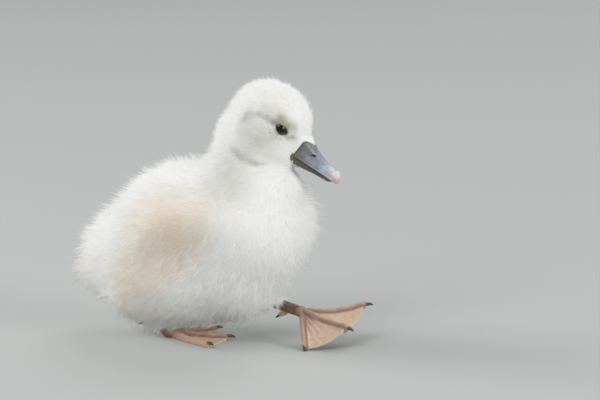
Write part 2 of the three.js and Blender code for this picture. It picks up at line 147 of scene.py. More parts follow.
# place, width in metres and power in watts
SOFTBOXES = {
    "key": ((-0.15, -1.15, 1.15), 0.9, 9.5),
    "ahead": ((1.5, -0.1, 0.38), 0.9, 13),
    "behind": ((-1.5, -0.3, 0.9), 1.0, 15),
    "far_side": ((0.2, 1.2, 1.3), 1.2, 9),
}

bm = bmesh.new()
bmesh.ops.create_grid(bm, x_segments=1, y_segments=1, size=FLOOR_WIDTH / 2)
floor = bpy.data.objects.new("floor", bpy.data.meshes.new("floor"))
bm.to_mesh(floor.data)
bm.free()
floor_material, _, _ = new_material("floor", Base_Color=FLOOR_GREY, Roughness=0.9)
floor.data.materials.append(floor_material)
bpy.context.collection.objects.link(floor)

for name, (place, width, watts) in SOFTBOXES.items():
    softbox(name, place, width, watts)
world = bpy.data.worlds.new("studio")
world.use_nodes = True
sky = world.node_tree.nodes["Background"].inputs
sky["Color"].default_value, sky["Strength"].default_value = SKY, SKY_STRENGTH
bpy.context.scene.world = world
bpy.context.scene.view_settings.view_transform = "Standard"
print("floor", FLOOR_WIDTH, "m wide, lights:", len(bpy.data.lights))

# %% [markdown]
# ## Finding our way on the bird
# Two small helpers give every position. `at` is a point inside a node's box, as shares along its sides. `head`
# is a point in the head's own frame, in millimetres ahead, to the left and up from the middle of the head, and
# `lie` is a direction in that frame. The head is turned and bent down, so we build the frame from the two
# eyeballs and the nail of the bill: the line between the eyes is its left, and the nail lies a known angle below
# straight ahead.


# %% places
def middle(node):
    low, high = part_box(node)
    return (low + high) / 2


def at(node, along, across, up):
    low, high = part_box(node)
    return low + Vector((along * (high.x - low.x), across * (high.y - low.y), up * (high.z - low.z)))


BOTH_SIDES = ((1, "left"), (-1, "right"))
EYE_AHEAD, EYE_ABOVE = 7.53, 4.11  # the eyeballs, from the middle of the head
NAIL_BELOW = math.radians(8.0)  # the nail, seen from between the eyes
between_eyes = (middle("eye_left") + middle("eye_right")) / 2
head_left = (middle("eye_left") - middle("eye_right")).normalized()
to_nail = middle("bill_nail") - between_eyes
to_nail = (to_nail - head_left * to_nail.dot(head_left)).normalized()
head_ahead = Quaternion(head_left, -NAIL_BELOW) @ to_nail
head_up = head_ahead.cross(head_left)
head_middle = between_eyes - (head_ahead * EYE_AHEAD + head_up * EYE_ABOVE) * MM


def lie(ahead, left, up):
    return head_ahead * ahead + head_left * left + head_up * up


def head(ahead, left, up):
    return head_middle + lie(ahead, left, up) * MM


def on_head(point):
    """A point in the head's own frame, in millimetres."""
    away = (point - head_middle) / MM
    return Vector((away.dot(head_ahead), away.dot(head_left), away.dot(head_up)))


print("head frame: ahead", [round(v, 3) for v in head_ahead], "middle", [round(v / MM, 1) for v in head_middle])

# %% [markdown]
# ## One skin under the down
# The solids are cut into head, neck, trunk and so on, with hair-thin gaps between them. A bird has one skin.
# We copy the flesh solids, swell each by the width of the gap so that neighbours overlap, and let a voxel
# remesh melt them into one closed surface. The bill, eyes and shanks are melted in too, so that the skin closes
# behind them. A sculptor would do the same: join the lumps first, and smooth them afterwards.

# %% melt the solids into one surface
FLESH = ("head", "neck", "trunk", "tail", "wing_left", "wing_right", "thigh_left", "thigh_right")
BEDDED = ("bill_upper", "bill_lower", "eye_left", "eye_right", "shank_left", "shank_right")
WELD = 0.002 * MM  # corners closer than this are one
SWELL = 0.4 * MM
SKIN_VOXEL = 1.2 * MM


def welded(node):
    """A copy of a CAD node with its loose triangles merged into a closed shell."""
    bm = bmesh.new()
    bm.from_mesh(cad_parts[node].data)
    bmesh.ops.remove_doubles(bm, verts=bm.verts, dist=WELD)
    bm.normal_update()
    return bm


def new_object(name, bm):
    """A smooth-shaded object from a bmesh, which is freed."""
    piece = bpy.data.objects.new(name, bpy.data.meshes.new(name))
    bm.to_mesh(piece.data)
    bm.free()
    piece.data.shade_smooth()
    bpy.context.collection.objects.link(piece)
    return piece


def apply_modifiers(piece):
    """Makes what the modifiers show the piece's own mesh."""
    shown = piece.evaluated_get(bpy.context.evaluated_depsgraph_get())
    mesh = bpy.data.meshes.new_from_object(shown)
    piece.modifiers.clear()
    piece.data = mesh
    piece.data.name = piece.name
    piece.data.shade_smooth()


def melted(name, nodes, swell, voxel):
    """One closed surface round the solids of these nodes, each swollen first."""
    together = bmesh.new()
    for node in nodes:
        bm = welded(node)
        for v in bm.verts:
            v.co += v.normal * swell
        one = bpy.data.meshes.new("one")
        bm.to_mesh(one)
        bm.free()
        together.from_mesh(one)
        bpy.data.meshes.remove(one)
    piece = new_object(name, together)
    remesh = piece.modifiers.new("melt", "REMESH")
    remesh.mode, remesh.voxel_size = "VOXEL", voxel
    apply_modifiers(piece)
    return piece


skin = melted("skin", FLESH + BEDDED, SWELL, SKIN_VOXEL)
print("skin:", len(skin.data.vertices), "vertices")

# %% [markdown]
# ## How deep the down is
# The solids reach out to the tips of the down, so the skin has to lie inside them by the coat's depth: half a
# millimetre at the bill, three on the crown, six on the breast and back. The table gives each region its coat.
# Every point of the skin asks how near it is to each region and takes a blend, so nothing changes in a step.

# %% the coat, region by region
# depth under the outline, tuft length and width in mm, tufts to the square mm, lift in degrees at root and tip,
# how far tufts lean together into points
COAT = {
    "head": (2.7, 4.2, 0.21, 9.5, 46, 20, 0.35),
    "neck": (4.4, 7.0, 0.28, 5.0, 46, 20, 0.40),
    "trunk": (5.6, 9.6, 0.34, 3.7, 50, 24, 0.42),
    "tail": (5.6, 10.5, 0.34, 4.2, 44, 20, 0.42),
    "wing_left": (4.8, 8.0, 0.32, 4.6, 42, 16, 0.40),
    "wing_right": (4.8, 8.0, 0.32, 4.6, 42, 16, 0.40),
    "thigh_left": (4.4, 7.5, 0.32, 4.6, 48, 24, 0.35),
    "thigh_right": (4.4, 7.5, 0.32, 4.6, 48, 24, 0.35),
}
FACE = (0.5, 1.25, 0.15, 15.0, 40, 14, 0.10)  # at the bill and the lids
DEPTH, LENGTH, WIDTH, DENSITY, ROOT_LIFT, TIP_LIFT, LEAN = range(7)
BEDDED_DEPTH = 1.1  # mm, where the skin only closes behind the bill, the eyes and the shanks
BLEND = 2  # mm over which two regions share their coats
# mm over which the face's short coat grows out, from the bill and from the eyes, and the coat thins at the shanks
FROM_BILL, FROM_EYE, FROM_SHANK = (-2, 15), (-1.5, 9), (-3, 5)
BARE_EDGE = (-0.25, 0.35)


def smooth_step(low, high, value):
    t = min(max((value - low) / (high - low), 0), 1)
    return t * t * (3 - 2 * t)


def hump(distance, reach, power=2):
    """1 at no distance, fading over reach; a higher power gives it a flat top."""
    return math.exp(-((distance / reach) ** power))


surfaces = {}
for node in FLESH + BEDDED:
    bm = welded(node)
    surfaces[node] = BVHTree.FromBMesh(bm)
    bm.free()


def distances(point, nodes):
    """How far a point is from the surface of each node, in millimetres."""
    return [surfaces[node].find_nearest(point)[3] / MM for node in nodes]


# under the jaw the down parts in a crease, the throat is drawn in beneath the chin, and the breast bulges below it
CREASE = [
    head(-12, 12, -15),
    head(-9, 14, -18.1),
    head(-4, 15.9, -20.6),
    head(0.5, 17, -21),
    head(5, 17.3, -19.9),
    head(12, 15.6, -16.4),
    head(19, 11.8, -13.9),
]
CREASE_DEPTH, CREASE_REACH = 2.0, 2.4  # mm
THROAT = [(head(16, side, -18.5), 5.5) for side in (-6, 6)] + [(head(23, 0, -13.5), 3.5)]  # places and reach
THROAT_DEPTH = 3.2
BREAST = at("neck", 1.0, 0.5, 0.2)
BREAST_RISE, BREAST_REACH = 3.6, 11


def on_line(point, start, end, within=False):
    """Share along a line, if asked kept within its ends, and how far off it, in millimetres."""
    t = (point - start).dot(end - start) / (end - start).length_squared
    if within:
        t = min(max(t, 0), 1)
    return t, (point - start - (end - start) * t).length / MM


def off_path(point, path):
    """How far a point is from a path of points, in millimetres, on either side of the head."""
    p = on_head(point)
    point = head(p.x, abs(p.y), p.z)
    return min(on_line(point, start, end, within=True)[1] for start, end in zip(path, path[1:]))


table = np.array([COAT[node] for node in FLESH])
coat = np.zeros((len(skin.data.vertices), len(FACE)))
region = np.zeros(len(coat), int)
bare = np.zeros(len(coat))
for i, v in enumerate(skin.data.vertices):
    flesh = distances(v.co, FLESH)
    to_bill = min(distances(v.co, BEDDED[:2]))
    to_eye = min(distances(v.co, BEDDED[2:4]))
    to_shank = min(distances(v.co, BEDDED[4:]))
    near = 1 / (np.array(flesh) ** 2 + BLEND**2) ** 2
    coat[i] = near @ table / near.sum()
    region[i] = near.argmax()
    face = min(smooth_step(*FROM_BILL, to_bill), smooth_step(*FROM_EYE, to_eye))
    coat[i] = np.array(FACE) * (1 - face) + coat[i] * face
    coat[i, DEPTH] *= smooth_step(*FROM_SHANK, to_shank)
    bare[i] = smooth_step(*BARE_EDGE, min(flesh) - min(to_bill, to_eye, to_shank))
    coat[i, DEPTH] += CREASE_DEPTH * hump(off_path(v.co, CREASE), CREASE_REACH)
    coat[i, DEPTH] -= BREAST_RISE * hump((v.co - BREAST).length / MM, BREAST_REACH)
    coat[i, DEPTH] += THROAT_DEPTH * max(hump((v.co - spot).length / MM, reach) for spot, reach in THROAT)
    coat[i, DEPTH] += (BEDDED_DEPTH - coat[i, DEPTH]) * bare[i]
print("coat depth from", coat[:, DEPTH].min().round(2), "to", coat[:, DEPTH].max().round(2), "mm")

# %% [markdown]
# ## Sink the skin below the down
# Moving six millimetres inwards in one go would fold the surface over itself in the creases. So the skin sinks
# in small steps, and after each one every vertex relaxes a little towards its neighbours, which also rubs out
# the facets of the solids.

# %% sink and relax
SINK_STEPS = 10
DEEP = 2.2  # mm of down, under which the skin may be relaxed more
DEEP_TIMES = 4


def relax(bm, verts, times=1):
    for _ in range(times):
        bmesh.ops.smooth_vert(bm, verts=verts, factor=0.5, use_axis_x=True, use_axis_y=True, use_axis_z=True)


bm = bmesh.new()
bm.from_mesh(skin.data)
for _ in range(SINK_STEPS):
    bm.normal_update()
    for v, depth in zip(bm.verts, coat[:, DEPTH]):
        v.co -= v.normal * (depth * MM + SWELL) / SINK_STEPS
    relax(bm, bm.verts)
    relax(bm, [v for v in bm.verts if coat[v.index, DEPTH] > DEEP], DEEP_TIMES)
bm.to_mesh(skin.data)
bm.free()
skin.data.shade_smooth()

OUTLINE = [surfaces[node] for node in FLESH]
sunk = [min(tree.find_nearest(v.co)[3] for tree in OUTLINE) / MM for v in list(skin.data.vertices)[::50]]
print("skin lies", round(sum(sunk) / len(sunk), 2), "mm inside the outline on average")

# %% [markdown]
# ## The skin's map
# The skin gets an unwrap of its own shape. The export bakes colours onto it, and the down will use it too: each
# tuft takes its place on the map from its root.

# %% unwrap the skin
BAKE_MAP = "OFBake"
bpy.context.view_layer.objects.active = skin
skin.select_set(True)
skin.data.uv_layers.new(name=BAKE_MAP)
bpy.ops.object.mode_set(mode="EDIT")
bpy.ops.mesh.select_all(action="SELECT")
bpy.ops.uv.smart_project(angle_limit=1.15, island_margin=0.006, scale_to_bounds=True)
bpy.ops.object.mode_set(mode="OBJECT")
skin.select_set(False)
print("map:", skin.data.uv_layers[BAKE_MAP].name)

# %% [markdown]
# ## Markings and painted shade
# This cygnet is nearly white. A pinkish beige lies over the wings, the flanks and the rump, a fainter one over
# the crown, and an olive-grey line runs from the eye back to the ear. Grey spots under the belly, on the cheeks
# and along the crease under the jaw, and grey and beige spots low on the flanks, are painted shade. We paint all
# of these as soft ellipsoids in object space, each with a place, a turn and three radii, blurred at the rim and
# ragged by noise. Skin and down use the same node group, so a parting in the down never shows a different colour.

# %% where the markings and the painted shade lie
HEAD_TURN = Matrix((head_ahead, head_left, head_up)).transposed().to_euler()


def head_spot(ahead, side, up, radii, slope=0):
    """A place, turn and radii in the head's frame; slope in degrees tips its length up towards the bill."""
    tipped = HEAD_TURN.to_matrix() @ Matrix.Rotation(math.radians(-slope), 3, "Y")
    return head(ahead, side, up), tipped.to_euler(), radii


def body_spot(node, along, across, up, radii, slope=0):
    return at(node, along, across, up), Matrix.Rotation(math.radians(-slope), 3, "Y").to_euler(), radii


BEIGE, SAND, CROWN = srgb(229, 206, 184), srgb(239, 229, 214), srgb(214, 205, 194)
# the first grey is a grey tint of the down, and also painted shade on the belly, the low flanks, the cheeks and the jaw
# crease
GREY_AND_SHADE, SLATE, OLIVE = srgb(208, 206, 194), srgb(142, 142, 130), srgb(152, 150, 124)
# the paint, how much of it, and where; some spots are painted shade, as noted at each
MARKINGS_AND_SHADE = [
    (SAND, 0.9, body_spot("tail", 0.5, 0.5, 0.4, (36, 32, 28), 25)),
    (CROWN, 0.85, head_spot(-3, 0, 11, (17, 19, 10), 15)),
    # painted shade under the belly
    (GREY_AND_SHADE, 0.8, body_spot("trunk", 0.5, 0.5, -0.02, (62, 46, 20))),
]
SPECKLED = []  # where the short down parts here and there, and the grey under it shows as specks
for side, way in BOTH_SIDES:
    edge = 0.5 + side * 0.5
    MARKINGS_AND_SHADE += [
        (SAND, 0.85, body_spot("wing_" + way, 0.35, edge, 0.5, (62, 32, 42), 25)),
        (BEIGE, 0.6, body_spot("wing_" + way, 0.56, edge, 0.4, (28, 32, 34), -10)),
        (BEIGE, 0.4, body_spot("wing_" + way, 0.15, edge, 0.6, (44, 28, 30), 30)),
        (BEIGE, 0.3, body_spot("trunk", 0.46, edge, 0.42, (26, 28, 24), 30)),
        (SAND, 0.85, body_spot("trunk", 0.3, edge, 0.35, (36, 22, 20), 30)),
        (BEIGE, 0.4, body_spot("trunk", 0.32, edge, 0.28, (42, 32, 26), 30)),
        # painted shade low on the flank: in beige towards the rear, in grey further forward
        (BEIGE, 0.6, body_spot("trunk", 0.25, edge, 0.08, (40, 28, 20), 20)),
        (GREY_AND_SHADE, 0.5, body_spot("trunk", 0.65, edge, 0.12, (52, 28, 22), 0)),
        (GREY_AND_SHADE, 0.6, body_spot("neck", 0.5, edge, 0.45, (26, 16, 22), 0)),
        (GREY_AND_SHADE, 0.75, head_spot(2, side * 16, 8.5, (15, 8, 7.5), 18)),
        # painted shade on the cheek, darker than the crown above
        (GREY_AND_SHADE, 0.7, head_spot(2, side * 18, -8, (21, 9, 15), 0)),
        (OLIVE, 0.85, head_spot(0, side * 17.6, 4.2, (12, 6, 3), 17)),
        (SLATE, 0.9, head_spot(4.4, side * 17, 5.8, (5.4, 6, 3), 25)),
        (OLIVE, 0.8, head_spot(8, side * 16.2, 8, (9, 6, 4.6), 5)),
        (OLIVE, 0.6, head_spot(-9, side * 17, -2.5, (5, 7, 9), -15)),
        (OLIVE, 0.7, head_spot(12.6, side * 14, 7, (8, 8, 7), 10)),
        (SLATE, 0.8, head_spot(15.5, side * 12.2, 2.6, (8, 6, 3.2), 10)),
        (GREY_AND_SHADE, 0.5, head_spot(9, side * 17, -0.5, (8, 6, 3), -10)),
        # painted shade along the crease under the jaw, in grey and slate
        (GREY_AND_SHADE, 0.7, head_spot(4, side * 17, -19.4, (15, 7, 3.4), 14)),
        (SLATE, 0.5, head_spot(-3, side * 16.5, -20.6, (12, 7, 3.4), -10)),
        (SLATE, 0.55, head_spot(9, side * 16.5, -18, (11, 7, 2), 25)),
    ]
    SPECKLED += [
        head_spot(0, side * 17, 2, (16, 9, 11), 10),
        head_spot(13, side * 14, 2, (10, 9, 10), 0),
        head_spot(-2, side * 17, -20, (15, 9, 6), -10),
    ]
print("markings:", len(MARKINGS_AND_SHADE), "speckled places:", len(SPECKLED))

# %% [markdown]
# A node group holds the effect, so that each material can place it with values of its own. It puts out a colour
# only. Two attributes of the down feed it: `tint`, a number drawn for each tuft, and `tipward`, which runs from
# its root to its tip, because light is lost deep between the tufts.


# %% the colour of down, as a node group
def new_group(name, inputs, outputs):
    """A shader node group; inputs and outputs are name: (socket type, default)."""
    group = bpy.data.node_groups.new(name, "ShaderNodeTree")
    for direction, sockets in (("INPUT", inputs), ("OUTPUT", outputs)):
        for label, (kind, default) in sockets.items():
            socket = group.interface.new_socket(name=label, in_out=direction, socket_type="NodeSocket" + kind)
            if default is not None and direction == "INPUT":
                socket.default_value = default
    return group, group.nodes.new("NodeGroupInput").outputs, group.nodes.new("NodeGroupOutput").inputs


def calc(tree, operation, *values):
    return add(tree, "ShaderNodeMath", dict(enumerate(values)), operation=operation).outputs[0]


def mix(tree, factor, first, second, blend="MIX"):
    made = add(tree, "ShaderNodeMix", data_type="RGBA", blend_type=blend)
    for index, value in ((0, factor), (6, first), (7, second)):  # the colour sockets share their names with others
        if isinstance(value, bpy.types.NodeSocket):
            tree.links.new(value, made.inputs[index])
        else:
            made.inputs[index].default_value = value
    return made.outputs[2]


def grey(tree, value):
    return add(tree, "ShaderNodeCombineColor", {"Red": value, "Green": value, "Blue": value}).outputs[0]


def tinge(tree, colour, mask, amount, paint):
    """The colour with paint laid over it where the mask is 1."""
    return mix(tree, calc(tree, "MULTIPLY", mask, amount), colour, paint)


def between(tree, value, low, high, to_low=0.0, to_high=1.0):
    """A smooth step from one value to another, while the value given goes from low to high."""
    values = {"Value": value, "From Min": low, "From Max": high, "To Min": to_low, "To Max": to_high}
    return add(tree, "ShaderNodeMapRange", values, interpolation_type="SMOOTHSTEP").outputs[0]


def spot_mask(tree, where, place, turn, radii):
    """1 in the middle of a soft ellipsoid, 0 outside it."""
    scale = tuple(r * MM for r in radii)
    inside = add(
        tree,
        "ShaderNodeMapping",
        {"Vector": where, "Location": tuple(place), "Rotation": tuple(turn), "Scale": scale},
        vector_type="TEXTURE",
    )
    away = add(tree, "ShaderNodeVectorMath", {0: inside.outputs[0]}, operation="LENGTH")
    return between(tree, away.outputs["Value"], 1.0, 0.0)


down_colour, given, result = new_group(
    "down_colour",
    {
        "White": ("Color", (0.9, 0.9, 0.9, 1)),
        "Tint": ("Float", 0.5),
        "Tipward": ("Float", 0.5),
        "Variation": ("Float", 0.1),
        "Shade": ("Float", 0.1),
    },
    {"Color": ("Color", None)},
)
RAGGED_SCALE, RAGGED_SHIFT, SPECK_SCALE = 160.0, 5 * MM, 950.0
place = add(down_colour, "ShaderNodeTexCoord").outputs["Object"]
ragged = add(down_colour, "ShaderNodeTexNoise", {"Vector": place, "Scale": RAGGED_SCALE, "Detail": 3.0})
away = add(down_colour, "ShaderNodeVectorMath", {0: ragged.outputs["Color"], 1: (0.5,) * 3}, operation="SUBTRACT")
shift = add(down_colour, "ShaderNodeVectorMath", {0: away.outputs[0], "Scale": RAGGED_SHIFT}, operation="SCALE")
place = add(down_colour, "ShaderNodeVectorMath", {0: place, 1: shift.outputs[0]}, operation="ADD").outputs[0]
colour = given["White"]
mottled = between(down_colour, ragged.outputs["Fac"], 0.36, 0.6, 0.7, 1.05)
for paint, amount, (spot, turn, radii) in MARKINGS_AND_SHADE:
    mask = calc(down_colour, "MULTIPLY", spot_mask(down_colour, place, spot, turn, radii), mottled)
    colour = tinge(down_colour, colour, mask, amount, paint)
specks = add(down_colour, "ShaderNodeTexNoise", {"Vector": place, "Scale": SPECK_SCALE, "Detail": 2.0})
specks = between(down_colour, specks.outputs["Fac"], 0.56, 0.68, 0.0, 0.55)
for spot, turn, radii in SPECKLED:
    colour = tinge(down_colour, colour, spot_mask(down_colour, place, spot, turn, radii), specks, SLATE)
own = calc(down_colour, "MULTIPLY", calc(down_colour, "SUBTRACT", given["Tint"], 0.5), given["Variation"])
deep = calc(down_colour, "MULTIPLY", calc(down_colour, "SUBTRACT", 1.0, given["Tipward"]), given["Shade"])
bright = calc(down_colour, "SUBTRACT", calc(down_colour, "ADD", 1.0, own), deep)
down_colour.links.new(mix(down_colour, 1.0, colour, grey(down_colour, bright), "MULTIPLY"), result["Color"])


def add_group(tree, group, **values):
    made = add(tree, "ShaderNodeGroup", node_tree=group)
    for key, value in values.items():
        if isinstance(value, bpy.types.NodeSocket):
            tree.links.new(value, made.inputs[key.replace("_", " ")])
        else:
            made.inputs[key.replace("_", " ")].default_value = value
    return made.outputs


def attribute(tree, name):
    return add(tree, "ShaderNodeAttribute", attribute_name=name).outputs["Fac"]


# %% [markdown]
# ## Materials of skin, down and wing down
# Skin and down take the markings from the group. Between the lids, round the eyeball, the skin is painted dark
# brown, as the shade in the socket. Down has no gloss, but its barbs catch light at the edge of the form, which is
# what sheen is for. The wing's down is a little warmer and shades more between its tufts, because the stub of the
# wing lies folded there.

# %% down materials
WHITE, WARM_WHITE, SOCKET_SHADE = srgb(249, 248, 245), srgb(248, 244, 238), srgb(60, 48, 32)
skin_material, nodes, shader = new_material("skin_under_down", Roughness=0.8)
# the skin takes the painted shade of a tuft's root: 12 percent darker than the down's white
painted = add_group(nodes, down_colour, White=WHITE, Tipward=0.0, Shade=0.12)["Color"]
# between the lids the skin is painted dark, as the shade in the socket round the eyeball
nodes.links.new(mix(nodes, attribute(nodes, "socket"), painted, SOCKET_SHADE), shader.inputs["Base Color"])

coats = {}
for name, white, variation, shade in (("down", WHITE, 0.07, 0.16), ("wing_down", WARM_WHITE, 0.09, 0.2)):
    coats[name], nodes, shader = new_material(name, Roughness=0.85, Sheen_Weight=0.5, Sheen_Roughness=0.5)
    painted = add_group(
        nodes,
        down_colour,
        White=white,
        Tint=attribute(nodes, "tint"),
        Tipward=attribute(nodes, "tipward"),
        Variation=variation,
        Shade=shade,
    )
    nodes.links.new(painted["Color"], shader.inputs["Base Color"])

skin.data.materials.append(skin_material)
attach(skin, "root")
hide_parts(*FLESH)
print("materials:", skin_material.name, *coats)

# %% [markdown]
# ## A tube that can become anything long
# Bill, lids, claws and the fold at the mouth's corner are all rings laid one after another. We start from a
# plain cylinder, cut it into rings, and then let a small function say where each corner of each ring goes. The
# faces come from the operators, so they are always closed and even, and only the shape is ours to think about.


# %% tubes and profiles
def tube(around, rings, lay_corner, capped=True):
    """Rings laid by lay_corner(share along, angle round)."""
    bm = bmesh.new()
    bmesh.ops.create_cone(bm, cap_ends=capped, segments=around, radius1=1, radius2=1, depth=1)
    lengthwise = [e for e in bm.edges if abs(e.verts[0].co.z - e.verts[1].co.z) > 0.5]
    bmesh.ops.subdivide_edges(bm, edges=lengthwise, cuts=rings - 2)
    for v in bm.verts:
        v.co = lay_corner(v.co.z + 0.5, math.atan2(v.co.y, v.co.x))
    bmesh.ops.recalc_face_normals(bm, faces=bm.faces)
    return bm


def through(*points):
    """A smooth curve through (place, value) points."""
    xs, ys = np.array(points, float).T
    slopes = np.gradient(ys, xs)

    def value(x):
        i = int(np.clip(np.searchsorted(xs, x) - 1, 0, len(xs) - 2))
        gap = xs[i + 1] - xs[i]
        t = min(max((x - xs[i]) / gap, 0), 1)
        start, end = (1 + 2 * t) * (1 - t) ** 2, t * t * (3 - 2 * t)
        return start * ys[i] + end * ys[i + 1] + gap * (t * (1 - t) ** 2 * slopes[i] - t * t * (1 - t) * slopes[i + 1])

    return value


def signed_power(value, exponent):
    return math.copysign(abs(value) ** exponent, value)


def face_away(bm, centre):
    """Turns an open sheet so that its faces look away from a point."""
    bm.normal_update()
    if sum(f.normal.dot(f.calc_center_median() - centre) for f in bm.faces) < 0:
        bmesh.ops.reverse_faces(bm, faces=bm.faces)


def give(mesh, name, values):
    """A number for every vertex, which a material can read."""
    mesh.attributes.new(name, "FLOAT", "POINT").data.foreach_set("value", np.array(values, np.float32))


# %% [markdown]
# ## The bill
# A cygnet's bill is a small copy of the adult's: high and square at the face, where two horns of it run up
# beside a wedge of down, then low, broad and round at the tip. Four profiles along it say how high its ridge,
# how wide its sides, and how low its mouth edge and keel are, all in millimetres ahead of the middle of the
# head. The underside of the upper half is nearly flat, so its edge stays crisp where it closes over the lower.

# %% profiles of the bill
BILL_ROOT, BILL_TIP, LOWER_TIP = 14.5, 48.8, 46.4
ridge = through((14, 6.6), (22, 5.9), (27.5, 4.9), (32.5, 3.05), (38, 1.85), (44, 1.65), (47.2, 1.0), (49, -0.6))
mouth = through(
    (14, -5.4), (21.6, -5.0), (24.4, -4.8), (27, -4.7), (32, -4.4), (37, -4.0), (42, -3.4), (45, -3.4), (49, -4.0)
)
side_of_bill = through(
    (14, 7.6), (19.5, 7.75), (22, 7.4), (27, 6.45), (32, 5.85), (38, 5.65), (43, 6.0), (47, 5.5), (49, 5.0)
)
keel = through((14, -9.4), (22, -9.6), (29, -8.5), (36, -6.9), (43, -5.6), (46.4, -4.9))
ROUNDING, LOWER_ROUNDING = 4.6, 3.4  # mm over which the tips round off
TUCK = (0.5, 0.4)  # mm the lower half reaches up into the upper one, and lies inside its sides
PAINT_FROM, PAINT_LENGTH = 19, 30  # mm ahead, along which the colours of the horn change
NOSTRIL = (29.7, 1.1)  # ahead and up
NOSTRIL_SLOPE = math.radians(17)
SWEEP = np.linspace(math.pi / 2, math.pi * 5 / 2, 721)


def rounding(x, tip, reach):
    return math.sqrt(max(1 - max((x - tip + reach) / reach, 0) ** 2, 0.0016))


def ahead_at(share, tip):
    """Rings crowd together towards the tip, where the shape turns fastest."""
    return BILL_ROOT + (tip - BILL_ROOT) * (1 - (1 - share) ** 1.6)


@functools.cache
def outline(width, low, centre, high, square_high, square_low):
    """A squared ellipse, with its corners evenly spaced round it from the top."""
    c, s = np.cos(SWEEP), np.sin(SWEEP)
    exponent = 2 / np.where(s > 0, square_high, square_low)
    y = width * np.sign(c) * np.abs(c) ** exponent
    z = centre + np.where(s > 0, high - centre, centre - low) * np.sign(s) * np.abs(s) ** exponent
    along = np.concatenate([[0], np.cumsum(np.hypot(np.diff(y), np.diff(z)))])
    return along / along[-1], y, z


def corner_of(angle, shape):
    along, y, z = outline(*shape)
    t = angle / (2 * math.pi) % 1
    return float(np.interp(t, along, y)), float(np.interp(t, along, z))


def at_nostril(x, z):
    """Place along and across the slit of the nostril."""
    dx, dz = x - NOSTRIL[0], z - NOSTRIL[1]
    along = dx * math.cos(NOSTRIL_SLOPE) + dz * math.sin(NOSTRIL_SLOPE)
    return along, dz * math.cos(NOSTRIL_SLOPE) - dx * math.sin(NOSTRIL_SLOPE)


def nostril(x, z):
    """How much a point is hole, lip, lobe behind the hole, and groove round the lobe."""
    u, w = at_nostril(x, z)
    hole = hump(u - 0.3, 1.45, 4) * hump(w, 0.62)
    lip = hump(u - 0.5, 1.6, 4) * (hump(w - 0.95, 0.42) + 0.6 * hump(w + 0.85, 0.3))
    lobe = hump(u + 1.35, 0.8) * hump(w - 0.45, 0.7)
    ring = hump(math.hypot((u + 0.9) / 1.25, (w - 0.3) / 1.0) - 1, 0.2) * smooth_step(0.4, -0.6, u + w * 0.5)
    return hole, lip, lobe, ring


def upper_corner(share, angle):
    x = ahead_at(share, BILL_TIP)
    close = rounding(x, BILL_TIP, ROUNDING)
    centre = mouth(x) + 0.4 * (ridge(x) - mouth(x))
    boxy = min(max((30 - x) / 8, 0), 1)
    high, low = (centre + (end - centre) * close**0.8 for end in (ridge(x), mouth(x)))
    y, z = corner_of(angle, (side_of_bill(x) * close, low, centre, high, 2.3 + 2.9 * boxy, 2.6 + 6 * close**2))
    flank = smooth_step(0.45, 0.8, abs(y) / side_of_bill(x))  # the sides, not the ridge or the roof of the mouth
    hole, lip, lobe, ring = nostril(x, z)
    u, w = at_nostril(x, z)
    hollow = hump(u, 3.2) * hump(w, 1.8)
    groove = hump(z - mouth(x) - 1.1, 0.3) * smooth_step(20, 26, x) * smooth_step(46, 41, x)
    waist = 0.3 * hump(x - 34, 5) * hump(z - centre - 1.0, 2.0)
    pinch = flank * (1.1 * hole - 0.26 * lip - 0.12 * lobe + 0.3 * ring + 0.28 * hollow + 0.14 * groove + waist)
    return head(x, y - math.copysign(min(pinch, abs(y)), y), z)


def lower_corner(share, angle):
    x = ahead_at(share, LOWER_TIP)
    close = rounding(x, LOWER_TIP, LOWER_ROUNDING)
    top = mouth(x) + TUCK[0]
    low = top - (top - keel(x)) * close**0.7
    y, z = corner_of(angle, ((side_of_bill(x) - TUCK[1]) * close, low, top, top + 0.2, 6.0, 2.9))
    y -= math.copysign(min(0.25 * hump(z - mouth(x) + 1.1, 0.3), abs(y)), y)
    return head(x, y, z)


def base_line(y):
    """How far ahead the down of the forehead ends on the bill: a wedge between two horns."""
    return 27.3 - 5.8 * min(abs(y) / 7.3, 1) ** 1.37


def chin_line(y):
    """The same below, where the down reaches further ahead in the middle."""
    return 23.6 + 5 * smooth_step(6, 0, abs(y))


def along_bill(p):
    return (p.x - PAINT_FROM) / PAINT_LENGTH


bill_upper = new_object("bill_upper_horn", tube(around=190, rings=150, lay_corner=upper_corner))
bill_lower = new_object("bill_lower_horn", tube(around=110, rings=110, lay_corner=lower_corner))
for piece, node, line in ((bill_upper, "bill_upper", base_line), (bill_lower, "bill_lower", chin_line)):
    spots = [on_head(v.co) for v in piece.data.vertices]
    beside = [smooth_step(0.7, 0.9, abs(p.y) / side_of_bill(p.x)) for p in spots]
    give(piece.data, "ahead", [along_bill(p) for p in spots])
    give(piece.data, "edge", [hump(p.z - mouth(p.x) - 0.45, 0.3) * s for p, s in zip(spots, beside)])
    # a band just under the mouth line, which the materials paint dark as the shade between the two halves
    give(piece.data, "gap", [hump(p.z - mouth(p.x) + 0.35, 0.4) * s for p, s in zip(spots, beside)])
    give(piece.data, "rim", [hump(p.x - line(p.y) - 0.05, 0.38) for p in spots])
    give(piece.data, "low_tip", [smooth_step(41, 46, p.x) * smooth_step(0.8, -1.8, p.z) for p in spots])
    give(piece.data, "gape", [smooth_step(24, 21.2, p.x) * smooth_step(-2.6, -4.4, p.z) for p in spots])
    off_ridge = [smooth_step(0.35, 0.55, abs(p.y) / side_of_bill(p.x)) for p in spots]
    for name, values in zip(("hole", "lip", "lobe", "ring"), zip(*(nostril(p.x, p.z) for p in spots))):
        give(piece.data, name, [value * off for value, off in zip(values, off_ridge)])
    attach(piece, "root")
    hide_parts(node)
    print(piece.name, len(piece.data.polygons), "faces")

